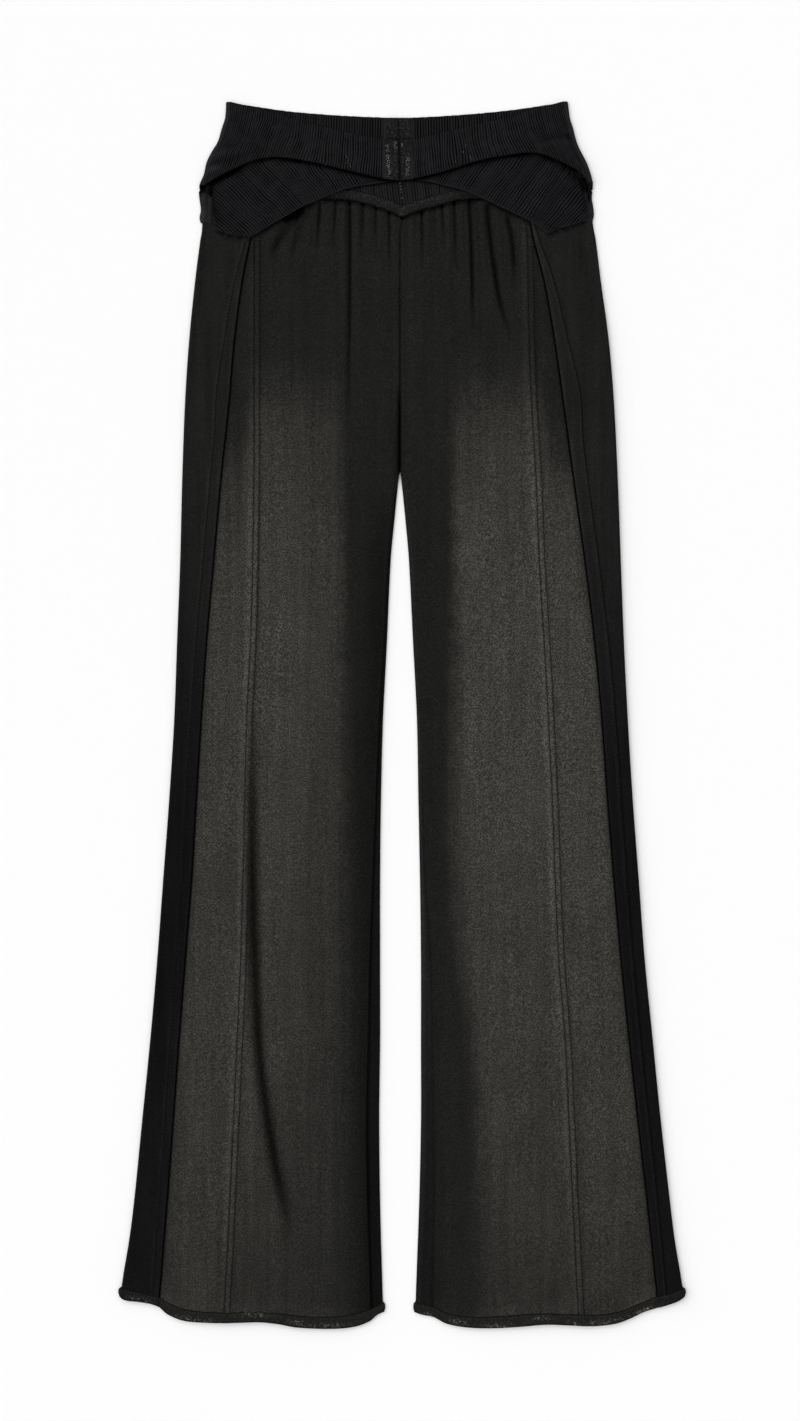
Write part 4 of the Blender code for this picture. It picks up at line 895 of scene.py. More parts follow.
def rounded(share):
    # how far a band's two long edges are rolled down
    return 0.55 * (1 - np.sqrt(np.clip(1 - np.abs(2 * share - 1) ** 6, 0, 1)))


def hemGlint(side, d, share):
    # painted glints: a few everywhere, more in each cluster
    return 0.06 + sum(1.25 * hump((d - at) / half) * hump((share - low) / 0.2) for at, half, low in hemFlecks[side])


def hemDark(share):
    # painted shade along the lines where the band meets the leg cloth and where it rolls under
    return 0.9 * ease(0.14, 0, share) + 1.0 * ease(0.86, 0.97, share)


def hemEnd(share):
    # a band's folded ends stand out as rounded knobs
    return ease(-0.15, 0.35, share) * (1 - 0.45 * ease(0.7, 1, share))


def hemFaces(side, share, d, y, where, fold, lift, height):
    inner, outer = fold
    height = height - rounded(share)
    return faces(side, y, picked(*where, outer, (d, lift), (d, height)),
                 picked(*where, inner, (d, lift + hemWall), (d, height - hemWall)),
                 deep=hemDark(share), glint=hemGlint(side, d, share))


def makeHem(side, material):
    # columns 0-1 lap to princess seam, 1-2 to the inner fold, 2-3 round it, 3-4 along the back
    leg, radius = lines[side], hemWall + innerFold["reach"]

    def shape(column, share):
        angle, *where = roundFold(column, 2)
        y = np.full(column.shape, hemLevel)
        for _ in range(passes):
            edge = innerEdge(side, y) - hemForm["proudInner"] * hemEnd(share)
            outside = blend(leg["lap"](y), leg["princess"](y), np.minimum(column, 1))
            front = blend(outside, edge + radius, np.clip(column - 1, 0, 1))
            back = blend(edge + radius, backSeam(side, y), np.clip(column - 3, 0, 1))
            fold = turned(angle, edge, innerFold["reach"], innerFold["top"], hemWall, -1)
            d = picked(*where, fold[1][:1], (back,), (front,))[0]
            y = hemY(side, d, d, share)
        height = frontTop(side, np.maximum(front, innerLine(side, y)), y)[0] + hemForm["lift"]
        return hemFaces(side, share, d, y, where, fold, backFace(side, d, y), height)

    columns = stops((0, 1, 34), (1, 2, 70), (2, 3, innerFold["round"]), (3, 4, 50))
    return makeWall(f"hemBand_{side}", columns, stops((0, 1, 12)), shape, material)


def makeSideHem(side, material):
    leg = lines[side]

    def shape(column, share):
        angle, *where = roundFold(column, 2)
        y = np.full(column.shape, hemLevel)
        proud = sideCloth["hemProud"] * hemEnd(share)
        for _ in range(passes):
            d = sideLine(side, column)(y) + proud * ease(0, 2, column) * ease(4, 3, column)
            fold = turned(angle, leg["outer"](y) + proud, sideCloth["foldReach"], foldTop(y), hemWall)
            d = np.where(where[0], fold[1][0], d)
            y = hemY(side, d, d, share)
        return hemFaces(side, share, d, y, where, fold, 0, sideTopAt(side, d, y)[0] + hemForm["foldLift"])

    columns = stops((0, 1, 10), (1, 2, 22), (2, 3, sideCloth["foldRound"]), (3, 4, 10))
    return makeWall(f"sideHem_{side}", columns, stops((0, 1, 12)), shape, material)

print("waist band, flaps and trim")

bandForm = {
    "ribPitch": 2.6, "groove": 0.7, "crown": 0.45, "ribColumns": 5, "backRibColumns": 4,
    "topHeight": 3.1, "lowHeight": 8.3, "foldHeight": 5.4,  # inner heights
    "raisedBy": 0.82, "foldReach": 3.5, "bow": 1.6, "wander": 0.3, "swell": 0.35,
    "rolled": (0.5, 0.6),  # how far the upper and the low edge go down
    "backLow": 499.4, "waistTop": 583.2, "gatherEvery": 11.0, "gatherLift": 1.1,
}

# Creases of the band, as crease() takes them: painted shade in the troughs, painted highlight on the ridges where dark
# is negative.
bandCreases = [crease(*row) for row in (
    (((-175, 543.5), (-171, 544), (-165, 543)), 1.8, 1.0, (2, 4), -0.5),
    (((-184, 528.0), (-170, 533.5), (-152, 539.8)), 2.3, 1.3, (1, 8), -0.5),
    (((-190, 514), (-182, 518), (-172, 520)), 2.0, 1.2, (1, 5), -1.4),
    (((-180, 522.5), (-163, 528), (-144, 535)), 1.9, -1.4, (3, 8), 0.5, 1.5, 0.8),
    (((-168.5, 541.8), (-162.5, 538.4), (-155, 541)), 1.6, -0.9, (2, 3), 0.4),
    (((128, 540), (144.2, 543.8), (154, 545), (165.1, 539.2), (173.8, 520.5), (176, 510)), 2.3, 1.7, (6, 6), -0.4,
     2.2, 0.6),
    (((163, 525), (169, 522), (172, 517), (173.5, 511)), 1.2, 0.4, (4, 3), -0.8),
    (((132, 545.6), (145, 548.6), (157, 549.4), (169, 542)), 1.6, -1.0, (8, 4), 0.5),
    (((172, 530), (177, 519), (180, 508)), 1.8, -0.9, (3, 3), 0.3),
    (((-60, 540), (-30, 532)), 3.5, 0.5, (8, 8)),
    (((44, 545), (78, 549), (104, 556)), 4.5, -0.5, (10, 10)),
    (((-118, 557), (-84, 549), (-58, 546)), 4.5, -0.5, (10, 10)),
)]
bandLifts = ((-102, 8, 1.5), (-166, 9, 1.6), (79, 15, 1.6), (149, 9, 1.4))  # X, half width, rise


def foldedBand(side, along, v):
    # where a rib of the band's front is at a share of its way down
    leg, form = lines[side], bandForm
    topD, lowD = leg["ribTop"](along), leg["ribLow"](along)
    d = blend(topD, lowD, v ** form["bow"])
    y = blend(leg["bandTop"](topD), leg["bandLow"](lowD), v)
    lastTop, lastLow = leg["ribTop"](1.0), leg["ribLow"](1.0)
    last = blend(lastTop, lastLow, v ** form["bow"])
    lastY = blend(leg["bandTop"](lastTop), leg["bandLow"](lastLow), v)
    start = leg["bandSide"](lastY) - clothWall - form["foldReach"]
    return d + (start - last) * along**4, y


def bandInner(along, v):
    form = bandForm
    low = blend(form["lowHeight"], form["foldHeight"], ease(0.93, 1.0, along))
    return blend(form["topHeight"], low, np.minimum(1, v / form["raisedBy"]) ** 0.8)


def makeBand(side, material):
    # columns 0-1 along the front, 1-2 round the side fold, 2-3 along the back
    leg, form = lines[side], bandForm
    ribs = round(float(leg["ribLow"](1.0) - leg["ribLow"](0.0)) / form["ribPitch"])
    backRibs = round(float(leg["bandSide"](566.0)) / form["ribPitch"])
    columns = stops((0, 1, ribs * form["ribColumns"]), (1, 2, 12), (2, 3, backRibs * form["backRibColumns"]))
    depths = ribDepths(400, 11 + sides[side], 0.62)
    folds = backRibs * form["ribPitch"] / form["gatherEvery"]

    def shape(column, v):
        along = np.minimum(column, 1)
        frontD, startY = foldedBand(side, along, v)
        height = bandInner(along, v) + clothWall
        x = sides[side] * frontD
        rise, deep = creased(x, startY, bandCreases)
        for place, half, lift in bandLifts:
            rise = rise + lift * hump((x - place) / half) * ease(0.55, 1, v)
        rise = rise + form["swell"] * rippled(x, startY, 34, 21)
        phase = along * ribs + form["wander"] * rippled(x, startY * 0.6, 22, 22)
        groove = ribGroove(phase, depths) * ease(tapes["front"][side][0] - 1, tapes["front"][side][0] + 2, frontD)
        groove *= 0.9 + 0.15 * rippled(x, startY, 14, 23)
        height = height + rise * ease(1, 0.985, along) + form["crown"] - form["groove"] * groove
        height -= form["rolled"][1] * ease(0.965, 1.0, v) ** 2 + form["rolled"][0] * ease(0.045, 0, v) ** 2
        height -= 0.3 * hump((frontD - centre(side, startY)) / 0.8)

        foldD, foldY = foldedBand(side, np.ones(v.shape), v)
        angle, *where = roundFold(column, 1)
        onFold, onBack = where
        fold = turned(angle, foldD + clothWall + form["foldReach"], form["foldReach"], bandInner(1.0, v), clothWall)
        low = blend(form["waistTop"], form["backLow"], v)
        foldY = np.where(angle < 0, np.minimum(foldY, low), foldY)

        share = np.clip(column - 2, 0, 1)
        backD, backY = settle(foldY, lambda y: blend(foldD, centre(side, y, centreBack), share),
                              lambda d: blend(leg["bandBackTop"](d), form["backLow"], v))
        gathered = np.abs(np.sin(pi * share * folds + 0.8 * np.sin(share * 37))) ** 1.5
        plain = ease(tapes["back"][side][0], tapes["back"][side][0] + 5, backD) * ease(1, 0.85, v)
        lift = form["gatherLift"] * gathered * plain * ease(0, 0.12, share)
        backGroove, start = ribGroove(share * backRibs, depths), ease(0, 0.05, share)
        backInner = clothWall + lift + form["crown"] - form["groove"] * backGroove * plain * start
        backInner = backInner - 0.3 * ease(0.05, 0, v)
        backOuter = form["crown"] * (backGroove * start + lift)
        y = np.where(onFold, foldY, np.where(onBack, backY, startY))
        # painted shade at the low end of the side fold; the margin map gives a faint painted highlight along the
        # rolled top and low edges of the front
        return faces(
            side, y,
            picked(*where, fold[1], (backD, backOuter), (frontD, height)),
            picked(*where, fold[0], (backD, backInner), (frontD, height - clothWall - form["crown"])),
            deep=np.where(onFold, 1.2 * ease(504, 502.5, y), np.where(onBack, 0, deep)),
            groove=np.where(onBack, backGroove * plain, np.where(onFold, 0, groove)),
            margin=(hump(v / 0.045) + 0.7 * hump((1 - v) / 0.028)) * (column < 1.05))

    rows = stops((0, 0.1, 5), (0.1, 0.86, 17), (0.86, 1, 8))
    return makeWall(f"waistBand_{side}", columns, rows, shape, material)


tapeForm = {"gap": 0.2, "inset": 0.15, "topInset": 0.3, "crown": 0.25, "backEnd": 524.0, "backLift": 1.0,
            "glintStrength": {"right": 1.0, "left": 0.7}}


def tapeAcross(side, ends, share, v, seam=centreFront):
    return lambda y: blend(centre(side, y, seam) + tapeForm["inset"], blend(ends[0], ends[1], v), share)


def tapeCrown(share):
    return tapeForm["crown"] * (1 - (2 * share - 1) ** 6)


def makeFrontTape(side, material):
    leg, ends = lines[side], tapes["front"][side]

    def shape(share, v):
        d, y = settle(blend(leg["bandTop"](0.0), leg["bandLow"](0.0), v), tapeAcross(side, ends, share, v),
                      lambda d: blend(leg["bandTop"](d) - tapeForm["topInset"], leg["bandLow"](d) + 0.2, v))
        low = bandInner(0.0, v) + clothWall + 0.35 * rippled(sides[side] * d, y, 34, 21)
        height = low + tapeForm["gap"] + tapeWall + tapeCrown(share)
        height = height - 0.5 * ease(0.95, 1, v) ** 2 - 0.35 * ease(0.05, 0, v) ** 2
        # painted glints near the tape's outer edge and, weaker, nearer the middle seam; painted shade in the gap along
        # the middle seam
        edges = 1.1 * hump((share - 0.8) / 0.2) * ease(0.12, 0.4, v) + 0.5 * hump((share - 0.3) / 0.22)
        return faces(side, y, (d, height), (d, height - tapeWall), deep=0.95 * hump(share / 0.12),
                     glint=edges * tapeForm["glintStrength"][side])

    return makeWall(f"frontTape_{side}", stops((0, 1, 16)), stops((0, 1, 36)), shape, material)


def makeBackTape(side, material):
    leg, ends = lines[side], tapes["back"][side]

    def shape(share, v):
        d, y = settle(tapeForm["backEnd"], tapeAcross(side, ends, share, v, centreBack),
                      lambda d: blend(leg["bandBackTop"](d) - tapeForm["topInset"], tapeForm["backEnd"], v))
        height = clothWall + tapeForm["backLift"] + tapeWall + tapeCrown(share)
        height = height - 0.3 * ease(0.05, 0, v) ** 2
        # painted shade along the middle seam and just above the front band's top edge; painted glints, most near the
        # outer edge
        behind = ease(3.5, 0.5, y - leg["bandTop"](d))
        return faces(side, y, (d, height), (d, height - tapeWall), deep=0.9 * hump(share / 0.07) + 0.7 * behind,
                     glint=0.3 + 0.5 * hump((share - 0.85) / 0.14))

    return makeWall(f"backTape_{side}", stops((0, 1, 14)), stops((0, 1, 24)), shape, material)


flapForm = {
    "height": 5.3, "sideDrop": 0.75, "tucked": 2.1, "tuck": 14.0, "sideGuide": 11, "sideWidth": 32.0,
    "ribPitch": 2.6, "groove": 0.65, "crown": 0.45, "ribColumns": 5, "wander": 0.3,
    "margin": 6.2, "marginRise": 0.3, "marginGroove": 0.35, "swell": 0.35, "rolled": 0.55,
    "bulges": ((-97, 16, 1.0), (93, 15, 0.9)),  # X, half width, rise of the free edge
}

# Creases of the flaps, as crease() takes them, with painted shade under the band's edge and in their valleys.
flapCreases = [crease(*row) for row in (
    # the shade under the band's low edge
    *(([(sides[side] * d, y - 0.6) for d, y in bandLow[side]], 2.8, 0, (1, 1), 1.1) for side in sides),
    (((-118, 533), (-112, 531.5), (-103, 529.5), (-95, 527.5)), 3.2, 0, (5, 5), 1.1),
    ([(-d, float(lines["right"]["bandLow"](d)) - 2.2) for d in (146, 156, 164, 172, 180, 188)], 2.8, 0, (14, 2),
     1.2),
    (((98, 534), (108, 534), (118, 532.5)), 2.4, 0, (5, 5), 0.9),
    (((130, 529.5), (138, 527.5), (146, 524)), 2.2, 0, (5, 5), 0.35),
    (((-176, 527), (-180, 515), (-181, 497), (-179, 478)), 2.2, -0.9, (4, 6), 0.5),
    (((-181.5, 505), (-184, 494), (-180, 480), (-177, 470)), 2.0, 0.9, (4, 4)),
    (((-152, 512), (-128, 497), (-108, 487)), 5.0, 0.5, (8, 10)),
    (((-96, 516), (-70, 506), (-40, 503)), 3.5, 0.5, (8, 10)),
    (((-166, 493), (-150, 477), (-138, 468)), 3.5, -0.4, (6, 6)),
    (((152, 520), (160, 513.2), (167, 504.6), (171.5, 497), (174.5, 490.5), (176.5, 485)), 1.4, -0.8, (3, 3), 0.7),
    (((162, 522), (165.5, 516), (167, 509)), 1.3, -0.4, (2, 3), 0.9),
    (((150, 516), (134, 500), (116, 488)), 4.5, 0.5, (8, 10)),
    (((100, 518), (74, 508), (44, 506)), 3.5, 0.5, (8, 10)),
)]


def flapLines(side):
    # the rib guides of a flap, and the width of cloth up to each
    guides = np.array(flapGuides[side], float)
    upper, lower = guides[:, :2], guides[:, 2:]
    run = (lower - upper)[:-1] + (lower - upper)[1:]
    run /= np.linalg.norm(run, axis=1)[:, None]
    across = np.stack([-run[:, 1], run[:, 0]], axis=1)
    steps = [np.abs((across * np.diff(end, axis=0)).sum(axis=1)) for end in (upper, lower)]
    widths = np.concatenate([[0], np.cumsum((steps[0] + steps[1]) / 2)])
    return guides, widths


def makeFlap(side, material):
    leg, form = lines[side], flapForm
    guides, widths = flapLines(side)
    ribs = round(widths[-1] / form["ribPitch"])
    ends = [lambda width, k=k: np.interp(width, widths, guides[:, k]) for k in range(4)]
    sideEdge = guides[form["sideGuide"]][0]
    depths = ribDepths(400, 31 + sides[side], 0.68)
    margin = 9.0  # rows are counted in millimetres from the free edge up to here

    def shape(column, row):
        width = column * widths[-1]
        upperD, upperY, lowerD, lowerY = (end(width) for end in ends)
        length = np.hypot(lowerD - upperD, lowerY - upperY)
        near = np.minimum(margin / length, 0.6)
        share = np.where(row < 1, row * (1 - near), 1 - near * (2 - row))
        d, y = blend(upperD, lowerD, share), blend(upperY, lowerY, share)
        d = np.maximum(d, centre(side, y))
        fromEdge = (1 - share) * length
        height = form["height"] - form["sideDrop"] * ease(sideEdge - form["sideWidth"], sideEdge, d)
        height = blend(height, form["tucked"], ease(-5, form["tuck"], y - leg["bandLow"](d)))
        x = sides[side] * d
        rise, deep = creased(x, y, flapCreases)
        shown = ease(2, -8, y - leg["bandLow"](d))
        for place, half, lift in form["bulges"]:
            rise = rise + lift * hump((x - place) / half) * ease(16, 0, fromEdge)
        phase = column * ribs + form["wander"] * rippled(x, y, 24, 42)
        groove = ribGroove(phase, depths) * ease(0.3, 1.5, fromEdge) * (0.88 + 0.16 * rippled(x, y, 16, 43))
        rise = (rise + form["swell"] * rippled(x, y, 28, 41)) * shown
        outer = height + clothWall + form["crown"] + rise
        outer = outer - form["groove"] * groove * blend(0.45, 1, ease(5.6, 6.4, fromEdge))
        outer = outer + form["marginRise"] * ease(form["margin"], form["margin"] - 0.8, fromEdge)
        outer = outer - form["marginGroove"] * hump((fromEdge - form["margin"] - 0.3) / 0.5)
        outer = outer - form["rolled"] * ease(1.3, 0, fromEdge) ** 2
        # the margin map gives a faint painted highlight along the rolled free edge and the ridge inside the margin
        margins = 0.9 * hump(fromEdge - 0.9) + 0.35 * hump((fromEdge - form["margin"] + 0.8) / 0.8)
        return faces(side, y, (d, outer), (d, height + rise), deep=deep, groove=groove, margin=margins)

    rows = stops((0, 1, 16), (1, 1.31, 4), (1.31, 2, 12))
    return makeWall(f"hipFlap_{side}", stops((0, 1, ribs * form["ribColumns"])), rows, shape, material)


yokeOver = {side: np.array([row[2:] for row in flapGuides[side]][:8]).T for side in sides}  # what lies over it

yokeForm = {"height": 2.1, "wall": 1.0, "reach": 150.0, "ribbed": 62.0, "tuck": 4.0, "highest": 514.0,
            "groove": 0.45, "ribPitch": 2.6}


def makeYoke(side, material):
    leg, form = lines[side], yokeForm
    ribs = round(form["ribbed"] / form["ribPitch"])
    depths = ribDepths(200, 51 + sides[side], 0.5)

    def shape(column, v):
        def down(d):
            return blend(np.minimum(leg["bandLow"](d) + form["tuck"], form["highest"]), leg["yoke"](d) + seamGap, v)

        d, y = settle(form["highest"], lambda y: blend(centre(side, y), form["reach"], column / form["reach"]), down)
        groove = ribGroove(column / form["ribPitch"], depths) * (column < form["ribbed"])
        height = form["height"] + form["wall"] + 0.3 - form["groove"] * groove
        height = height - 0.5 * hump((d - centre(side, y)) / 0.7)
        edgeY = np.interp(d, *yokeOver[side])
        # painted shade under the flaps' free edges and along the piping
        shade = 0.95 * ease(-2.2, 0.3, y - edgeY) + 0.4 * ease(6.5, 5.0, y - leg["yoke"](d))
        return faces(side, y, (d, height), (d, form["height"]), deep=0.9 * shade, groove=0.75 * groove, margin=0.3)

    columns = np.concatenate([stops((0, form["ribbed"], ribs * 6)), stops((70, form["reach"], 8))])
    return makeWall(f"yokeFront_{side}", columns, stops((0, 1, 16)), shape, material)


pipingForm = {"height": 3.65, "wall": 1.0, "half": 4.8, "reach": 96.0, "crown": 0.75, "waver": 0.05,
              "seams": (0.17, 0.83), "seamDepth": 0.35, "swell": 0.12, "bead": 0.7}


def makePiping(side, material):
    leg, form = lines[side], pipingForm

    def shape(share, v):
        y = np.full(share.shape, waistLevel)
        for _ in range(passes):
            d = blend(centre(side, y), form["reach"], share)
            slope = (leg["yoke"](d + 1) - leg["yoke"](d - 1)) / 2
            half = form["half"] * np.sqrt(1 + slope**2) * (1 + form["waver"] * rippled(d, y, 18, 61))
            y = leg["yoke"](d) + blend(half, -half, v)
        height = form["height"] + form["wall"] + form["crown"] * np.sin(pi * v) ** 0.7
        for seam in form["seams"]:
            height = height - form["seamDepth"] * hump((v - seam) / 0.05)
        height = height + form["swell"] * rippled(d * 3, y, 9, 62)
        height = height - form["seamDepth"] * hump((d - centre(side, y)) / 0.8)
        # the bead at the middle stands proud with a painted highlight; painted shade along both rolled edges and
        # towards the far end; painted glints along the upper edge
        bead = hump(d / 2.6) * hump((v - 0.75) / 0.3)
        return faces(
            side, y, (d, height + form["bead"] * bead), (d, form["height"]),
            deep=0.8 * ease(0.72, 1, v) + 0.5 * ease(0.1, 0, v) + 0.65 * ease(36, 70, d) - 0.6 * bead,
            glint=0.3 + 0.8 * hump((v - 0.2) / 0.12) * ease(60, 20, d) + 1.4 * bead)

    return makeWall(f"seamPiping_{side}", stops((0, 1, 110)), stops((0, 1, 18)), shape, material)


backYokeForm = {"top": 505.0, "backTop": 499.0, "strip": {"right": 173.5, "left": 165.0},
                "stripTop": {"right": 512.0, "left": 510.0}, "gap": 0.1, "ribbed": 190.0, "ribPitch": 2.6}

# Painted shade in the dark hollows beside the flaps' ends, and painted highlights on the light edges by them: place,
# half widths, dark.
stripHoles = (
    ((-181.8, 496.5), (3.4, 4.2), 1.5), ((-190.5, 501), (2.2, 9.0), 1.3), ((-186, 487), (2.2, 7.0), 0.4),
    ((175.4, 500.5), (2.4, 5.5), 1.2), ((177.3, 493), (1.8, 7.0), 1.2), ((180, 508.5), (2.4, 7.0), 1.2),
)
stripGlows = (((-189.6, 492), 4.0), ((-189.8, 476.0), 5.0), ((-185.5, 502.0), 2.0), ((178.6, 505.0), 6.0))


def makeBackYoke(side, material):
    # columns 0-1 beside the flap, 1-2 round the side, 2-3 along the back
    leg, form = lines[side], backYokeForm
    reach, top = sideCloth["foldReach"], sideCloth["foldAtWaist"]
    ribs = round(form["ribbed"] / form["ribPitch"])
    depths = ribDepths(200, 71 + sides[side], 0.4)

    def shape(column, v):
        angle, *where = roundFold(column, 1)
        onFold, onBack = where
        y = np.full(column.shape, form["top"])
        stripTop = np.where(column > 0.8, form["top"], form["stripTop"][side])
        for _ in range(passes):
            edge = leg["backYokeEdge"](y) - 1.6 * ease(497.5, 500, y)
            inner, outer = turned(angle, edge, reach, top, clothWall)
            frontD = blend(form["strip"][side], outer[0], np.minimum(column, 1))
            frontY = blend(stripTop, leg["sideTop"](frontD) + form["gap"], v)
            backD = blend(outer[0], centre(side, y, centreBack), np.clip(column - 2, 0, 1))
            high = blend(form["top"], form["backTop"], ease(1.6, 2.0, column))
            backY = blend(high, backTop[side] + form["gap"] - 0.5 * onFold, v)
            y = np.where(onFold | onBack, backY, frontY)
        d = np.where(onFold, outer[0], np.where(onBack, backD, frontD))
        x = sides[side] * d
        groove = ribGroove(np.clip(column - 2, 0, 1) * ribs, depths) * onBack
        lift, height = 0.25 + 0.25 * rippled(x, y, 40, 74), top + 0.3 + 0.4 * rippled(x, y, 16, 73)
        aside = d - flapGuides[side][flapForm["sideGuide"]][0]
        # painted shade beside the flap's end, under the band's low edge and in the hollows; painted highlight (glow)
        # on the edges by them
        shaded = np.maximum(hump((aside - 0.3) / 1.3) * 0.75, ease(493.5, 497.5, y) * ease(13, 8, aside))
        shaded = np.maximum(shaded, 1.25 * ease(-7.5, -3, y - leg["bandLow"](d)))
        for (holeX, holeY), (wide, tall), dark in stripHoles:
            shaded = np.maximum(shaded, dark * hump((x - holeX) / wide) * hump((y - holeY) / tall))
        glow = sum(hump((x - glowX) / 1.3) * hump((y - glowY) / tall) for (glowX, glowY), tall in stripGlows)
        return faces(side, y, picked(*where, outer, (d, lift + 0.4 * groove), (d, height + clothWall)),
                     picked(*where, inner, (d, lift + clothWall), (d, height)), groove=groove,
                     deep=(shaded - 0.8 * glow) * (column < 1.6), margin=(0.2 + glow) * (column < 1.6))

    columns = stops((0, 1, 12), (1, 2, 10), (2, 3, ribs * 4))
    return makeWall(f"backYoke_{side}", columns, stops((0, 1, 14)), shape, material)
print("cloth finishes")


def tint(red, green, blue, gain=0.8):
    # a colour as the eye reads it, 0 to 255, as the shader's linear amount
    return tuple(((value / 255 + 0.055) / 1.055) ** 2.4 * gain for value in (red, green, blue)) + (1.0,)


def feed(tree, socket, value):
    if isinstance(value, (int, float, tuple)):
        socket.default_value = value
    else:
        tree.links.new(value, socket)


def addNode(tree, kind, fed=(), **settings):
    node = tree.nodes.new(kind)
    for key, value in settings.items():
        setattr(node, key, value)
    for key, value in fed:
        feed(tree, node.inputs[key], value)
    return node


def calculate(tree, operation, first, second=0.0, clamp=False):
    fed = [(0, first), (1, second)]
    return addNode(tree, "ShaderNodeMath", fed, operation=operation, use_clamp=clamp).outputs[0]


def times(tree, first, second, clamp=False):
    return calculate(tree, "MULTIPLY", first, second, clamp)


def plus(tree, first, second, clamp=False):
    return calculate(tree, "ADD", first, second, clamp)


def mixColours(tree, share, first, second, kind="MIX"):
    fed = [(0, share), (6, first), (7, second)]
    return addNode(tree, "ShaderNodeMix", fed, data_type="RGBA", blend_type=kind).outputs[2]


def between(tree, value, *ends, **settings):
    # value from its own low and high to a new low and high
    return addNode(tree, "ShaderNodeMapRange", enumerate((value, *ends)), **settings).outputs[0]


def noise(tree, place, scale, detail, roughness=0.5, distortion=0.0):
    fed = [("Vector", place), ("Scale", scale), ("Detail", detail), ("Roughness", roughness),
           ("Distortion", distortion)]
    return addNode(tree, "ShaderNodeTexNoise", fed).outputs[0]


def inSpace(tree):
    return addNode(tree, "ShaderNodeTexCoord").outputs["Object"]


def makeGroup(name, inputs, outputs):
    group = bpy.data.node_groups.new(name, "ShaderNodeTree")
    for socket, value in inputs:
        group.interface.new_socket(name=socket, in_out="INPUT", socket_type="NodeSocketFloat").default_value = value
    for socket in outputs:
        group.interface.new_socket(name=socket, in_out="OUTPUT", socket_type="NodeSocketFloat")
    return group, group.nodes.new("NodeGroupInput").outputs, group.nodes.new("NodeGroupOutput")


def giveOut(group, given, **values):
    for key, value in values.items():
        group.links.new(value, given.inputs[key])
    return group


def makeCrepe():
    # short worm-like wrinkles of crepe, with slow clouds over them and faint streaks down the cloth
    group, taken, given = makeGroup(
        "crepeGrain", [("Scale", 820.0), ("Cloud Scale", 22.0)], ["Grain", "Cloud", "Streak"])
    place = inSpace(group)
    worm = between(group, noise(group, place, taken["Scale"], 0.0, distortion=0.5), 0.4, 0.62,
                   interpolation_type="SMOOTHSTEP")
    patch = noise(group, place, 200.0, 1.0)
    grain = times(group, worm, between(group, patch, 0.35, 0.7, 0.82, 1.28))
    grain = plus(group, grain, between(group, noise(group, place, 2100.0, 2.0), 0.3, 0.7, -0.4, 0.4))
    cloud = noise(group, place, taken["Cloud Scale"], 5.0, 0.62)
    drawn = addNode(group, "ShaderNodeVectorMath", [(0, place), (1, (1.0, 0.045, 0.4))], operation="MULTIPLY")
    streak = noise(group, drawn.outputs[0], 190.0, 3.0, 0.6)
    return giveOut(group, given, Grain=grain, Cloud=cloud, Streak=streak)


def makeStrands():
    # fine loops of yarn running down the cloth, on the piece's own cloth map
    group, taken, given = makeGroup("yarnLoops", [("Pitch", 0.0009), ("Length", 0.0013)], ["Yarn", "Fuzz", "Height"])
    flat = addNode(group, "ShaderNodeUVMap", uv_map="cloth").outputs[0]
    parts = addNode(group, "ShaderNodeSeparateXYZ", [("Vector", flat)]).outputs
    across = calculate(group, "DIVIDE", parts[0], taken["Pitch"])
    down = calculate(group, "DIVIDE", parts[1], taken["Length"])
    slant = calculate(group, "ABSOLUTE", calculate(group, "SUBTRACT", calculate(group, "FRACT", across), 0.5))
    turns = plus(group, down, slant), across
    loop, bulge = (calculate(group, "SINE", times(group, turn, 2 * pi)) for turn in turns)
    yarn = plus(group, plus(group, times(group, loop, 0.25), times(group, bulge, 0.25)), 0.5)
    fuzz = noise(group, inSpace(group), 520.0, 3.0, 0.7)
    return giveOut(group, given, Yarn=yarn, Fuzz=fuzz, Height=plus(group, yarn, times(group, fuzz, 0.5)))


def startCloth(name, roughness, specular, *keys):
    # a cloth material, its shader's sockets, and the maps of the piece that it reads
    material = bpy.data.materials.new(name)
    material.use_nodes = True
    tree = material.node_tree
    shader = tree.nodes["Principled BSDF"].inputs
    shader["Roughness"].default_value = roughness
    shader["Specular IOR Level"].default_value = specular
    maps = [addNode(tree, "ShaderNodeAttribute", attribute_name=key).outputs["Fac"] for key in keys]
    return material, tree, shader, maps


def useGroup(tree, group, **values):
    node = addNode(tree, "ShaderNodeGroup", node_tree=group)
    for key, value in values.items():
        node.inputs[key].default_value = value
    return node.outputs


def shaded(tree, colour, amount):
    grey = addNode(tree, "ShaderNodeCombineColor", [(0, amount), (1, amount), (2, amount)])
    return mixColours(tree, 1.0, colour, grey.outputs[0], "MULTIPLY")


def finish(tree, shader, colour, height, distance):
    tree.links.new(colour, shader["Base Color"])
    bump = addNode(tree, "ShaderNodeBump", [("Height", height), ("Distance", distance), ("Strength", 1.0)])
    tree.links.new(bump.outputs[0], shader["Normal"])


def thinLine(tree, distance, at, half):
    # 1 on a line this far along a distance, and 0 half a line's width beside it
    off = calculate(tree, "ABSOLUTE", calculate(tree, "SUBTRACT", distance, at))
    return between(tree, off, 0.0, half, 1.0, 0.0)


crepeGroup, strandGroup = makeCrepe(), makeStrands()
bumpDepths = {"cloth": 0.00025, "trim": 0.0003, "thread": 0.0001}

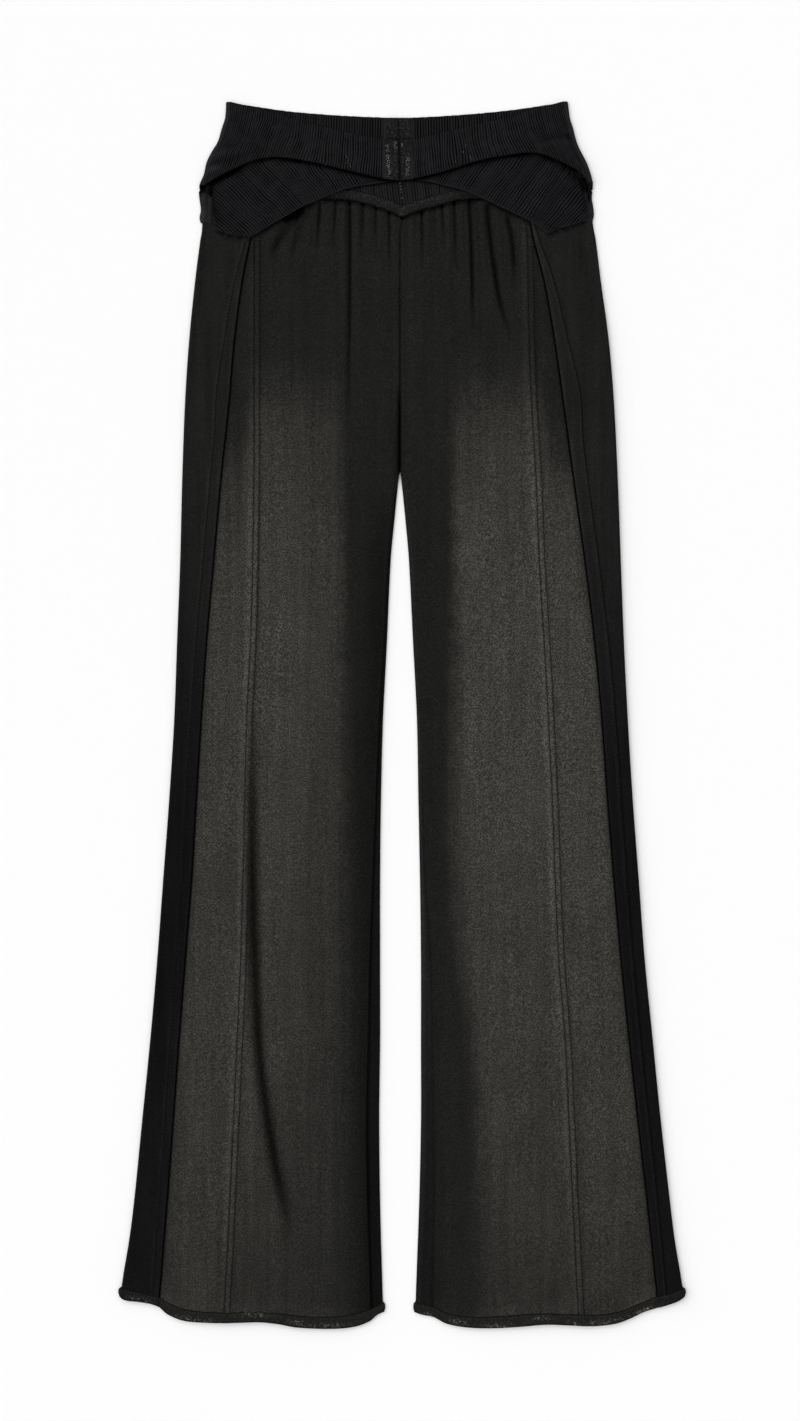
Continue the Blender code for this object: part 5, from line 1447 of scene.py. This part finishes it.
# Leg cloth colours and strengths; the valley, sewn line and lap settings set painted shade, and the last one the
# painted highlight.
legCloth = {
    "dyed": (35.0, 35.2, 33.6), "washed": (71.6, 69.6, 65.6), "black": (20.5, 20.6, 19.5),
    "grainDyed": 0.5, "grainWashed": 0.86, "cloud": 0.07, "streaks": 0.1, "valley": 0.8, "sewn": 0.75,
    "lapShade": 0.38, "lapReach": 6.5, "lapLine": 0.97, "lapLineAt": (1.1, 2.7), "sewnHalf": 1.15,
    "washCloud": 0.10, "washStreak": 0.16, "worn": 0.5,
}
sideDyed = dict(legCloth, dyed=(37.3, 37.4, 36.2), black=(19.8, 19.8, 20.4), grainDyed=0.36, streaks=0.17)


def makeLegCloth(name, colours):
    # dyed crepe, bleached down the middle of each leg by its own wash map
    material, tree, shader, (wash, deep, tone, worn, seam, lap) = startCloth(
        name, 0.88, 0.03, "wash", "deep", "tone", "worn", "seam", "lap")
    crepe = useGroup(tree, crepeGroup)
    cloud, streak = (between(tree, crepe[key], 0.3, 0.7, -1.0, 1.0) for key in ("Cloud", "Streak"))
    unrest = plus(tree, times(tree, cloud, colours["washCloud"]), times(tree, streak, colours["washStreak"]))
    edge = times(tree, wash, calculate(tree, "SUBTRACT", 1.2, wash))
    wash = plus(tree, wash, times(tree, unrest, edge), clamp=True)
    # the tone map darkens the dye towards black: darker dye, and painted shade beside the inner leg
    dyed = mixColours(tree, tone, tint(*colours["dyed"]), tint(*colours["black"]))
    colour = mixColours(tree, wash, dyed, tint(*colours["washed"]))

    strength = between(tree, wash, 0.0, 1.0, colours["grainDyed"], colours["grainWashed"])
    amount = plus(tree, times(tree, calculate(tree, "SUBTRACT", crepe["Grain"], 0.5), strength), 1.0)
    for key, spread in (("Cloud", colours["cloud"]), ("Streak", colours["streaks"])):
        amount = times(tree, amount, between(tree, crepe[key], 0.3, 0.7, 1 - spread, 1 + spread))
    # painted highlight along raised seams and folds
    amount = times(tree, amount, plus(tree, times(tree, worn, colours["worn"]), 1.0))

    # painted shade: valleys and seams from the shade map, the dark sewn lines, beside the lap, and a near-black
    # painted shadow line at the lap's edge
    offset, half = frontCloth["stitchOffset"], colours["sewnHalf"]
    sewnLines = plus(tree, *(thinLine(tree, seam, at, half) for at in (offset, -offset)))
    under = calculate(tree, "POWER", between(tree, lap, 0.0, colours["lapReach"], 1.0, 0.0), 1.8)
    dark = times(tree, deep, colours["valley"])
    for shade in (times(tree, sewnLines, colours["sewn"]), times(tree, under, colours["lapShade"]),
                  between(tree, lap, *colours["lapLineAt"], colours["lapLine"], 0.0)):
        dark = calculate(tree, "MAXIMUM", dark, shade)
    amount = times(tree, amount, calculate(tree, "SUBTRACT", 1.0, dark, clamp=True))
    finish(tree, shader, shaded(tree, colour, amount), crepe["Grain"], bumpDepths["cloth"])
    tree.links.new(between(tree, crepe["Grain"], 0.2, 1.0, 0.92, 0.8), shader["Roughness"])
    return material


# Rib knit: crown colour, near-black painted shade in its grooves, a slightly paler margin used as faint painted
# highlight, and how strong the groove shade, fuzz, yarn and painted valley shade are.
ribKnit = {"crown": (40.0, 40.2, 42.2), "groove": (2, 2, 3), "margin": (41, 41.2, 43), "grooveGain": 1.4,
           "fuzz": (0.78, 1.24), "yarn": (0.85, 1.15), "valley": 0.9}


def makeRibKnit(name, colours):
    material, tree, shader, (groove, deep, margin) = startCloth(name, 0.85, 0.02, "groove", "deep", "margin")
    loops = useGroup(tree, strandGroup)
    colour = tint(*colours["crown"])
    for share, gain, key in ((margin, 1.0, "margin"), (groove, colours["grooveGain"], "groove")):
        colour = mixColours(tree, times(tree, share, gain, clamp=True), colour, tint(*colours[key]))
    amount = times(tree, between(tree, loops["Fuzz"], 0.35, 0.65, *colours["fuzz"]),
                   between(tree, loops["Yarn"], 0.0, 1.0, *colours["yarn"]))
    # painted shade from the shade map; where it is negative, painted highlight
    shade = calculate(tree, "SUBTRACT", 1.0, times(tree, deep, colours["valley"]))
    amount = times(tree, amount, calculate(tree, "MAXIMUM", shade, 0.0))
    finish(tree, shader, shaded(tree, colour, amount), loops["Height"], bumpDepths["cloth"])
    return material


trimLoops = {"Pitch": 0.0015, "Length": 0.004}
# Trim cloths: colours, how strong the flecks (painted glints) are and where they start, rib and grain contrast.
hemCloth = {"cloth": (34.5, 34.2, 32), "glint": (122, 120, 113), "glints": 0.9, "flecks": (0.5, 0.68), "ribs": 0.1,
            "grain": 0.3}
sideHemCloth = dict(hemCloth, cloth=(28.5, 28.5, 29.5))
tapeTrim = {"cloth": (28.5, 28.7, 30), "glint": (122, 122, 119), "glints": 0.5, "flecks": (0.54, 0.68), "ribs": 0.1,
            "grain": 0.7}
pipingTrim = {"cloth": (35, 35, 34.6), "glint": (92, 92, 89), "glints": 0.6, "flecks": (0.55, 0.70), "ribs": 0.3,
              "grain": 0.5}


def makeTrim(name, colours):
    # dark finely ribbed cloth, with greyish-white flecks of painted glint where its "glint" map lets them through, and
    # painted shade from its shade map
    material, tree, shader, (glint, deep) = startCloth(name, 0.8, 0.04, "glint", "deep")
    crepe, loops = useGroup(tree, crepeGroup), useGroup(tree, strandGroup, **trimLoops)
    fleck = noise(tree, inSpace(tree), 560.0, 2.0, 0.6, 0.6)
    flecks = between(tree, fleck, *colours["flecks"], 0.0, colours["glints"])
    flecks = times(tree, flecks, glint, clamp=True)
    grain = times(tree, calculate(tree, "SUBTRACT", crepe["Grain"], 0.5), colours["grain"])
    ribs = between(tree, loops["Yarn"], 0.0, 1.0, 1 - colours["ribs"], 1 + colours["ribs"])
    shade = calculate(tree, "SUBTRACT", 1.0, times(tree, deep, 0.85), clamp=True)
    amount = times(tree, times(tree, plus(tree, grain, 1.0), ribs), shade)
    colour = shaded(tree, tint(*colours["cloth"]), amount)
    colour = mixColours(tree, flecks, colour, tint(*colours["glint"]))
    finish(tree, shader, colour, crepe["Grain"], bumpDepths["trim"])
    tree.links.new(between(tree, flecks, 0.0, 0.6, 0.8, 0.55), shader["Roughness"])
    return material


def makeThread(name, colour):
    # twisted yarn: painted light and shade on the turns across each stitch
    material, tree, shader, _ = startCloth(name, 0.6, 0.2)
    twist = noise(tree, inSpace(tree), 700.0, 2.0)
    light = between(tree, twist, 0.35, 0.65, 0.0, 1.0)
    worn = mixColours(tree, light, *(tint(*(gain * part for part in colour)) for gain in (0.6, 1.25)))
    finish(tree, shader, worn, twist, bumpDepths["thread"])
    return material


washedDenim, sidePanelCloth = makeLegCloth("washedDenim", legCloth), makeLegCloth("sidePanelCloth", sideDyed)
ribCloth = makeRibKnit("ribKnit", ribKnit)
hemBandCloth, sideHemBandCloth = makeTrim("hemBandCloth", hemCloth), makeTrim("sideHemBandCloth", sideHemCloth)
tapeCloth, pipingCloth = makeTrim("tapeCloth", tapeTrim), makeTrim("pipingCloth", pipingTrim)
threadTints = {"seamThread": (30, 30, 29), "edgeThread": (62, 61, 58), "brightThread": (112, 111, 108)}
threads = {name: makeThread(name, colour) for name, colour in threadTints.items()}


makers = {
    "front_panel": (makeFrontPanel, washedDenim, "washed_denim"),
    "front_side_panel": (makeFrontSidePanel, washedDenim, "washed_denim"),
    "side_panel": (makeSidePanel, sidePanelCloth, "side_cloth"),
    "back_panel": (makeBackPanel, sidePanelCloth, "side_cloth"),
    "hem": (makeHem, hemBandCloth, "hem_cloth"),
    "side_hem": (makeSideHem, sideHemBandCloth, "hem_cloth"),
    "band": (makeBand, ribCloth, "rib_knit"),
    "front_tape": (makeFrontTape, tapeCloth, "tape"),
    "back_tape": (makeBackTape, tapeCloth, "tape"),
    "flap": (makeFlap, ribCloth, "rib_knit"),
    "yoke": (makeYoke, ribCloth, "rib_knit"),
    "piping": (makePiping, pipingCloth, "tape"),
    "back_yoke": (makeBackYoke, ribCloth, "rib_knit"),
}
made = {}
for node, (maker, material, slot) in makers.items():
    for side in sides:
        piece = maker(side, material)
        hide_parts(f"{node}_{side}")
        made[node, side] = piece
    print(node, "made:", len(piece.data.polygons), "faces")

print("sewing")

stitchRise = 0.3
# The stitches on each piece: a stitch's length, the gap after it, its width, and the share left out.
stitching = {
    "front_panel": {"name": "legStitches", "thread": "seamThread", "seed": 3,
                    "length": 2.3, "gap": 1.0, "width": 0.55, "skipped": 0.0},
    "hem": {"name": "hemStitches", "thread": "edgeThread", "seed": 4,
            "length": 1.6, "gap": 1.2, "width": 0.55, "skipped": 0.15},
    "band": {"name": "bandStitches", "thread": "brightThread", "seed": 6,
             "length": 1.3, "gap": 0.9, "width": 0.7, "skipped": 0.0},
    "front_tape": {"name": "tapeStitches", "thread": "brightThread", "seed": 7,
                   "length": 1.9, "gap": 0.6, "width": 0.7, "skipped": 0.25},
    "piping": {"name": "pipingStitches", "thread": "edgeThread", "seed": 8,
               "length": 1.4, "gap": 1.3, "width": 0.6, "skipped": 0.4},
    "yoke": {"name": "yokeStitches", "thread": "brightThread", "seed": 9,
             "length": 1.4, "gap": 1.5, "width": 1.3, "skipped": 0.1},
}


def everyStep(path, step):
    # places at even steps along a line of points, and the way it runs there
    path = np.asarray(path, float)
    lengths = np.linalg.norm(np.diff(path, axis=0), axis=1)
    run = np.concatenate([[0], np.cumsum(lengths)])
    at = np.arange(step / 2, run[-1], step)
    ends = [np.stack([np.interp(at + shift, run, path[:, k]) for k in range(3)], axis=1) for shift in (-0.4, 0.4)]
    return (ends[0] + ends[1]) / 2, ends[1] - ends[0]


def makeStitch():
    bm = bmesh.new()
    bmesh.ops.create_uvsphere(bm, u_segments=6, v_segments=3, radius=0.5)
    for face in bm.faces:
        face.smooth = True
    mesh = bpy.data.meshes.new("stitch")
    bm.to_mesh(mesh)
    bm.free()
    return mesh


oneStitch = makeStitch()


def sewLines(node, side, paths):
    # a rounded stitch at every step along each line
    form = stitching[node]
    name, draw = f"{form['name']}_{side}", np.random.default_rng(form["seed"])
    corners = np.array([tuple(vert.co) for vert in oneStitch.vertices])
    bm, places = bmesh.new(), []
    for path in paths:
        for place, way in zip(*everyStep(path, form["length"] + form["gap"])):
            if draw.random() < form["skipped"]:
                continue
            bm.from_mesh(oneStitch)
            run = way / np.linalg.norm(way)
            across = np.array((-run[1], run[0], 0)) / np.hypot(run[0], run[1])
            up = np.cross(run, across)
            length = form["length"] * draw.uniform(0.85, 1.12)
            axes = np.stack([run * length, across * form["width"], up * stitchRise * 2])
            places.append(corners @ axes + place + up * stitchRise * 0.35)
    for vert, place in zip(bm.verts, np.concatenate(places) * metres):
        vert.co = place
    mesh = bpy.data.meshes.new(name)
    bm.to_mesh(mesh)
    bm.free()
    return addPiece(name, mesh, threads[form["thread"]])


def onCloth(side, topAt, line, aside, fromY, toY):
    y = np.linspace(fromY, toY, 260)
    d = line(y) + aside
    return np.stack([sides[side] * d, y, topAt(side, d, y)[0]], axis=1)


def nearestPoint(points, x, y):
    upper = points[points[:, 2] > 4]
    return upper[np.argmin(np.hypot(upper[:, 0] - x, upper[:, 1] - y))]


# Loose bright threads on the band's front, X and Y.
strayThreads = {
    "right": (((-54, 533), (-51, 527), (-53, 522)), ((-50, 524), (-48, 519)), ((-74, 521.5), (-72, 519.5))),
    "left": (((61, 543), (60, 539)), ((57.5, 536), (58.5, 532)), ((64, 531), (66, 527)),
             ((50, 525.5), (51.5, 523.5))),
}
# Where the two rows beside the princess seam start and end.
princessTops, princessEnd = {"right": (470, 432), "left": (476, 452)}, -562
# The other rows on the legs: how far beside their seam, and from where to where.
middleRow, inseamRow, lapRow = (3.0, 474, 318), (2.2, 205, -556), (0.0, 452, -556)
# Which row of a hem's and a trim's grid is sewn along, and how many of its columns.
hemRow, pipingRow = 2, 3
sewnColumns = {"hemBand": 104, "sideHem": 32, "seamPiping": 55}
# Zigzags on the front tapes: two columns, first and last row.
zigzags = {"right": ((2, 5, 2, 9), (11, 15, 5, 36)), "left": ((2, 5, 3, 8), (9, 15, 16, 35))}

for side in sides:
    leg, offset = lines[side], frontCloth["stitchOffset"]
    paths = {"front_panel": [
        *(onCloth(side, frontTop, leg["princess"], by, top, princessEnd)
          for by, top in zip((-offset, offset), princessTops[side])),
        onCloth(side, frontTop, lambda y: centre(side, y), *middleRow),
        onCloth(side, frontTop, lambda y: innerLine(side, y), *inseamRow),
        onCloth(side, sideTopAt, lambda y: leg["lap"](y) + lapSewn(y), *lapRow),
    ]}
    band, tape, piping = (surfaces[f"{name}_{side}"] for name in ("waistBand", "frontTape", "seamPiping"))
    paths["hem"] = [surfaces[f"{name}_{side}"][:sewnColumns[name], hemRow] for name in ("hemBand", "sideHem")]
    paths["band"] = [[nearestPoint(band.reshape(-1, 3), x, y) for x, y in line] for line in strayThreads[side]]
    paths["front_tape"] = [np.stack([tape[near if k % 2 else far, k] for k in range(first, last)])
                           for near, far, first, last in zigzags[side]]
    paths["piping"] = [piping[:sewnColumns["seamPiping"], pipingRow]]
    if side == "right":
        paths["yoke"] = [surfaces[f"yokeFront_{side}"][0, 2:], piping[0, 2:8]]  # down the middle seam
    for node, onPiece in paths.items():
        sewLines(node, side, onPiece)

print("sheets, light and camera")

# Each piece's flat cut: width, length and area, and what it lies on.
flatCuts = {
    "front_panel": {"right": (0.149, 1.066, 0.1381), "left": (0.143, 1.066, 0.1377), "on": ["back_panel"]},
    "front_side_panel": {"right": (0.076, 1.053, 0.0569), "left": (0.084, 1.059, 0.0585), "on": ["back_panel"]},
    "side_panel": {"right": (0.100, 1.027, 0.0647), "left": (0.119, 1.033, 0.0631), "on": ["back_panel"]},
    "back_panel": {"right": (0.234, 1.042, 0.1944), "left": (0.256, 1.044, 0.1972), "on": []},
    "hem": {"right": (0.452, 0.0125, 0.0054), "left": (0.482, 0.0123, 0.0058), "on": []},
    "side_hem": {"right": (0.081, 0.0119, 0.00085), "left": (0.058, 0.0113, 0.00062), "on": []},
    "band": {"right": (0.414, 0.088, 0.0232), "left": (0.407, 0.088, 0.0223), "on": ["flap", "yoke"]},
    "front_tape": {"right": (0.0142, 0.0395, 0.00056), "left": (0.0132, 0.0395, 0.00048), "on": ["band"]},
    "back_tape": {"right": (0.0124, 0.0441, 0.00054), "left": (0.0109, 0.0441, 0.00048), "on": ["band"]},
    "flap": {"right": (0.246, 0.079, 0.0096), "left": (0.229, 0.076, 0.0093), "on": ["front_panel", "side_panel"]},
    "yoke": {"right": (0.157, 0.033, 0.0039), "left": (0.155, 0.033, 0.0040), "on": ["front_panel"]},
    "piping": {"right": (0.0997, 0.011, 0.00109), "left": (0.0984, 0.0112, 0.00107), "on": ["front_panel", "yoke"]},
    "back_yoke": {"right": (0.225, 0.049, 0.0070), "left": (0.212, 0.043, 0.0064), "on": ["back_panel"]},
}
for (node, side), piece in made.items():
    width, length, area = flatCuts[node][side]

stage = {"floorHalf": 4.0, "floorDrop": 0.0002, "cameraX": -0.0021, "cameraY": 0.0044, "cameraZ": 3.1925}

floorMesh = bpy.data.meshes.new("floor")
bm = bmesh.new()
bmesh.ops.create_grid(bm, x_segments=2, y_segments=2, size=stage["floorHalf"],
                      matrix=Matrix.Translation((0, 0, -stage["floorDrop"])))
bm.to_mesh(floorMesh)
bm.free()
floor = bpy.data.objects.new("floor", floorMesh)
bpy.context.scene.collection.objects.link(floor)
paper = bpy.data.materials.new("paper")
paper.use_nodes = True
shader = paper.node_tree.nodes["Principled BSDF"]
shader.inputs["Roughness"].default_value = 0.95
shader.inputs["Specular IOR Level"].default_value = 0.0
tone = addNode(paper.node_tree, "ShaderNodeTexNoise", [("Scale", 3.0), ("Detail", 2.0)])
pale = mixColours(paper.node_tree, tone.outputs[0], (0.9, 0.9, 0.9, 1), (0.915, 0.915, 0.915, 1))
paper.node_tree.links.new(pale, shader.inputs["Base Color"])
floorMesh.materials.append(paper)

world = bpy.data.worlds.new("studio")
bpy.context.scene.world = world
world.use_nodes = True
sky = world.node_tree.nodes["Background"]
sky.inputs["Color"].default_value = (1, 1, 1, 1)
seen = addNode(world.node_tree, "ShaderNodeLightPath").outputs["Is Camera Ray"]
world.node_tree.links.new(between(world.node_tree, seen, 0, 1, 0.25, 0.98), sky.inputs["Strength"])

# Two wide lamps: strength, spread in degrees, and where their light comes from.
lamps = {"softWindow": (1.95, 90, (-0.58, 0.36, 0.73)), "softCeiling": (1.22, 90, (0, 0, 1))}
for name, (energy, angle, towards) in lamps.items():
    lamp = bpy.data.lights.new(name, "SUN")
    lamp.energy, lamp.angle = energy, radians(angle)
    lampObject = bpy.data.objects.new(name, lamp)
    lampObject.rotation_euler = Vector(towards).to_track_quat("Z", "Y").to_euler()
    bpy.context.scene.collection.objects.link(lampObject)

cameraData = bpy.data.cameras.new("camera")
cameraData.lens = 85
cameraData.clip_end = 20
camera = bpy.data.objects.new("camera", cameraData)
camera.location = stage["cameraX"], stage["cameraY"], stage["cameraZ"]
bpy.context.scene.collection.objects.link(camera)
bpy.context.scene.camera = camera
bpy.context.scene.view_settings.view_transform = "Standard"
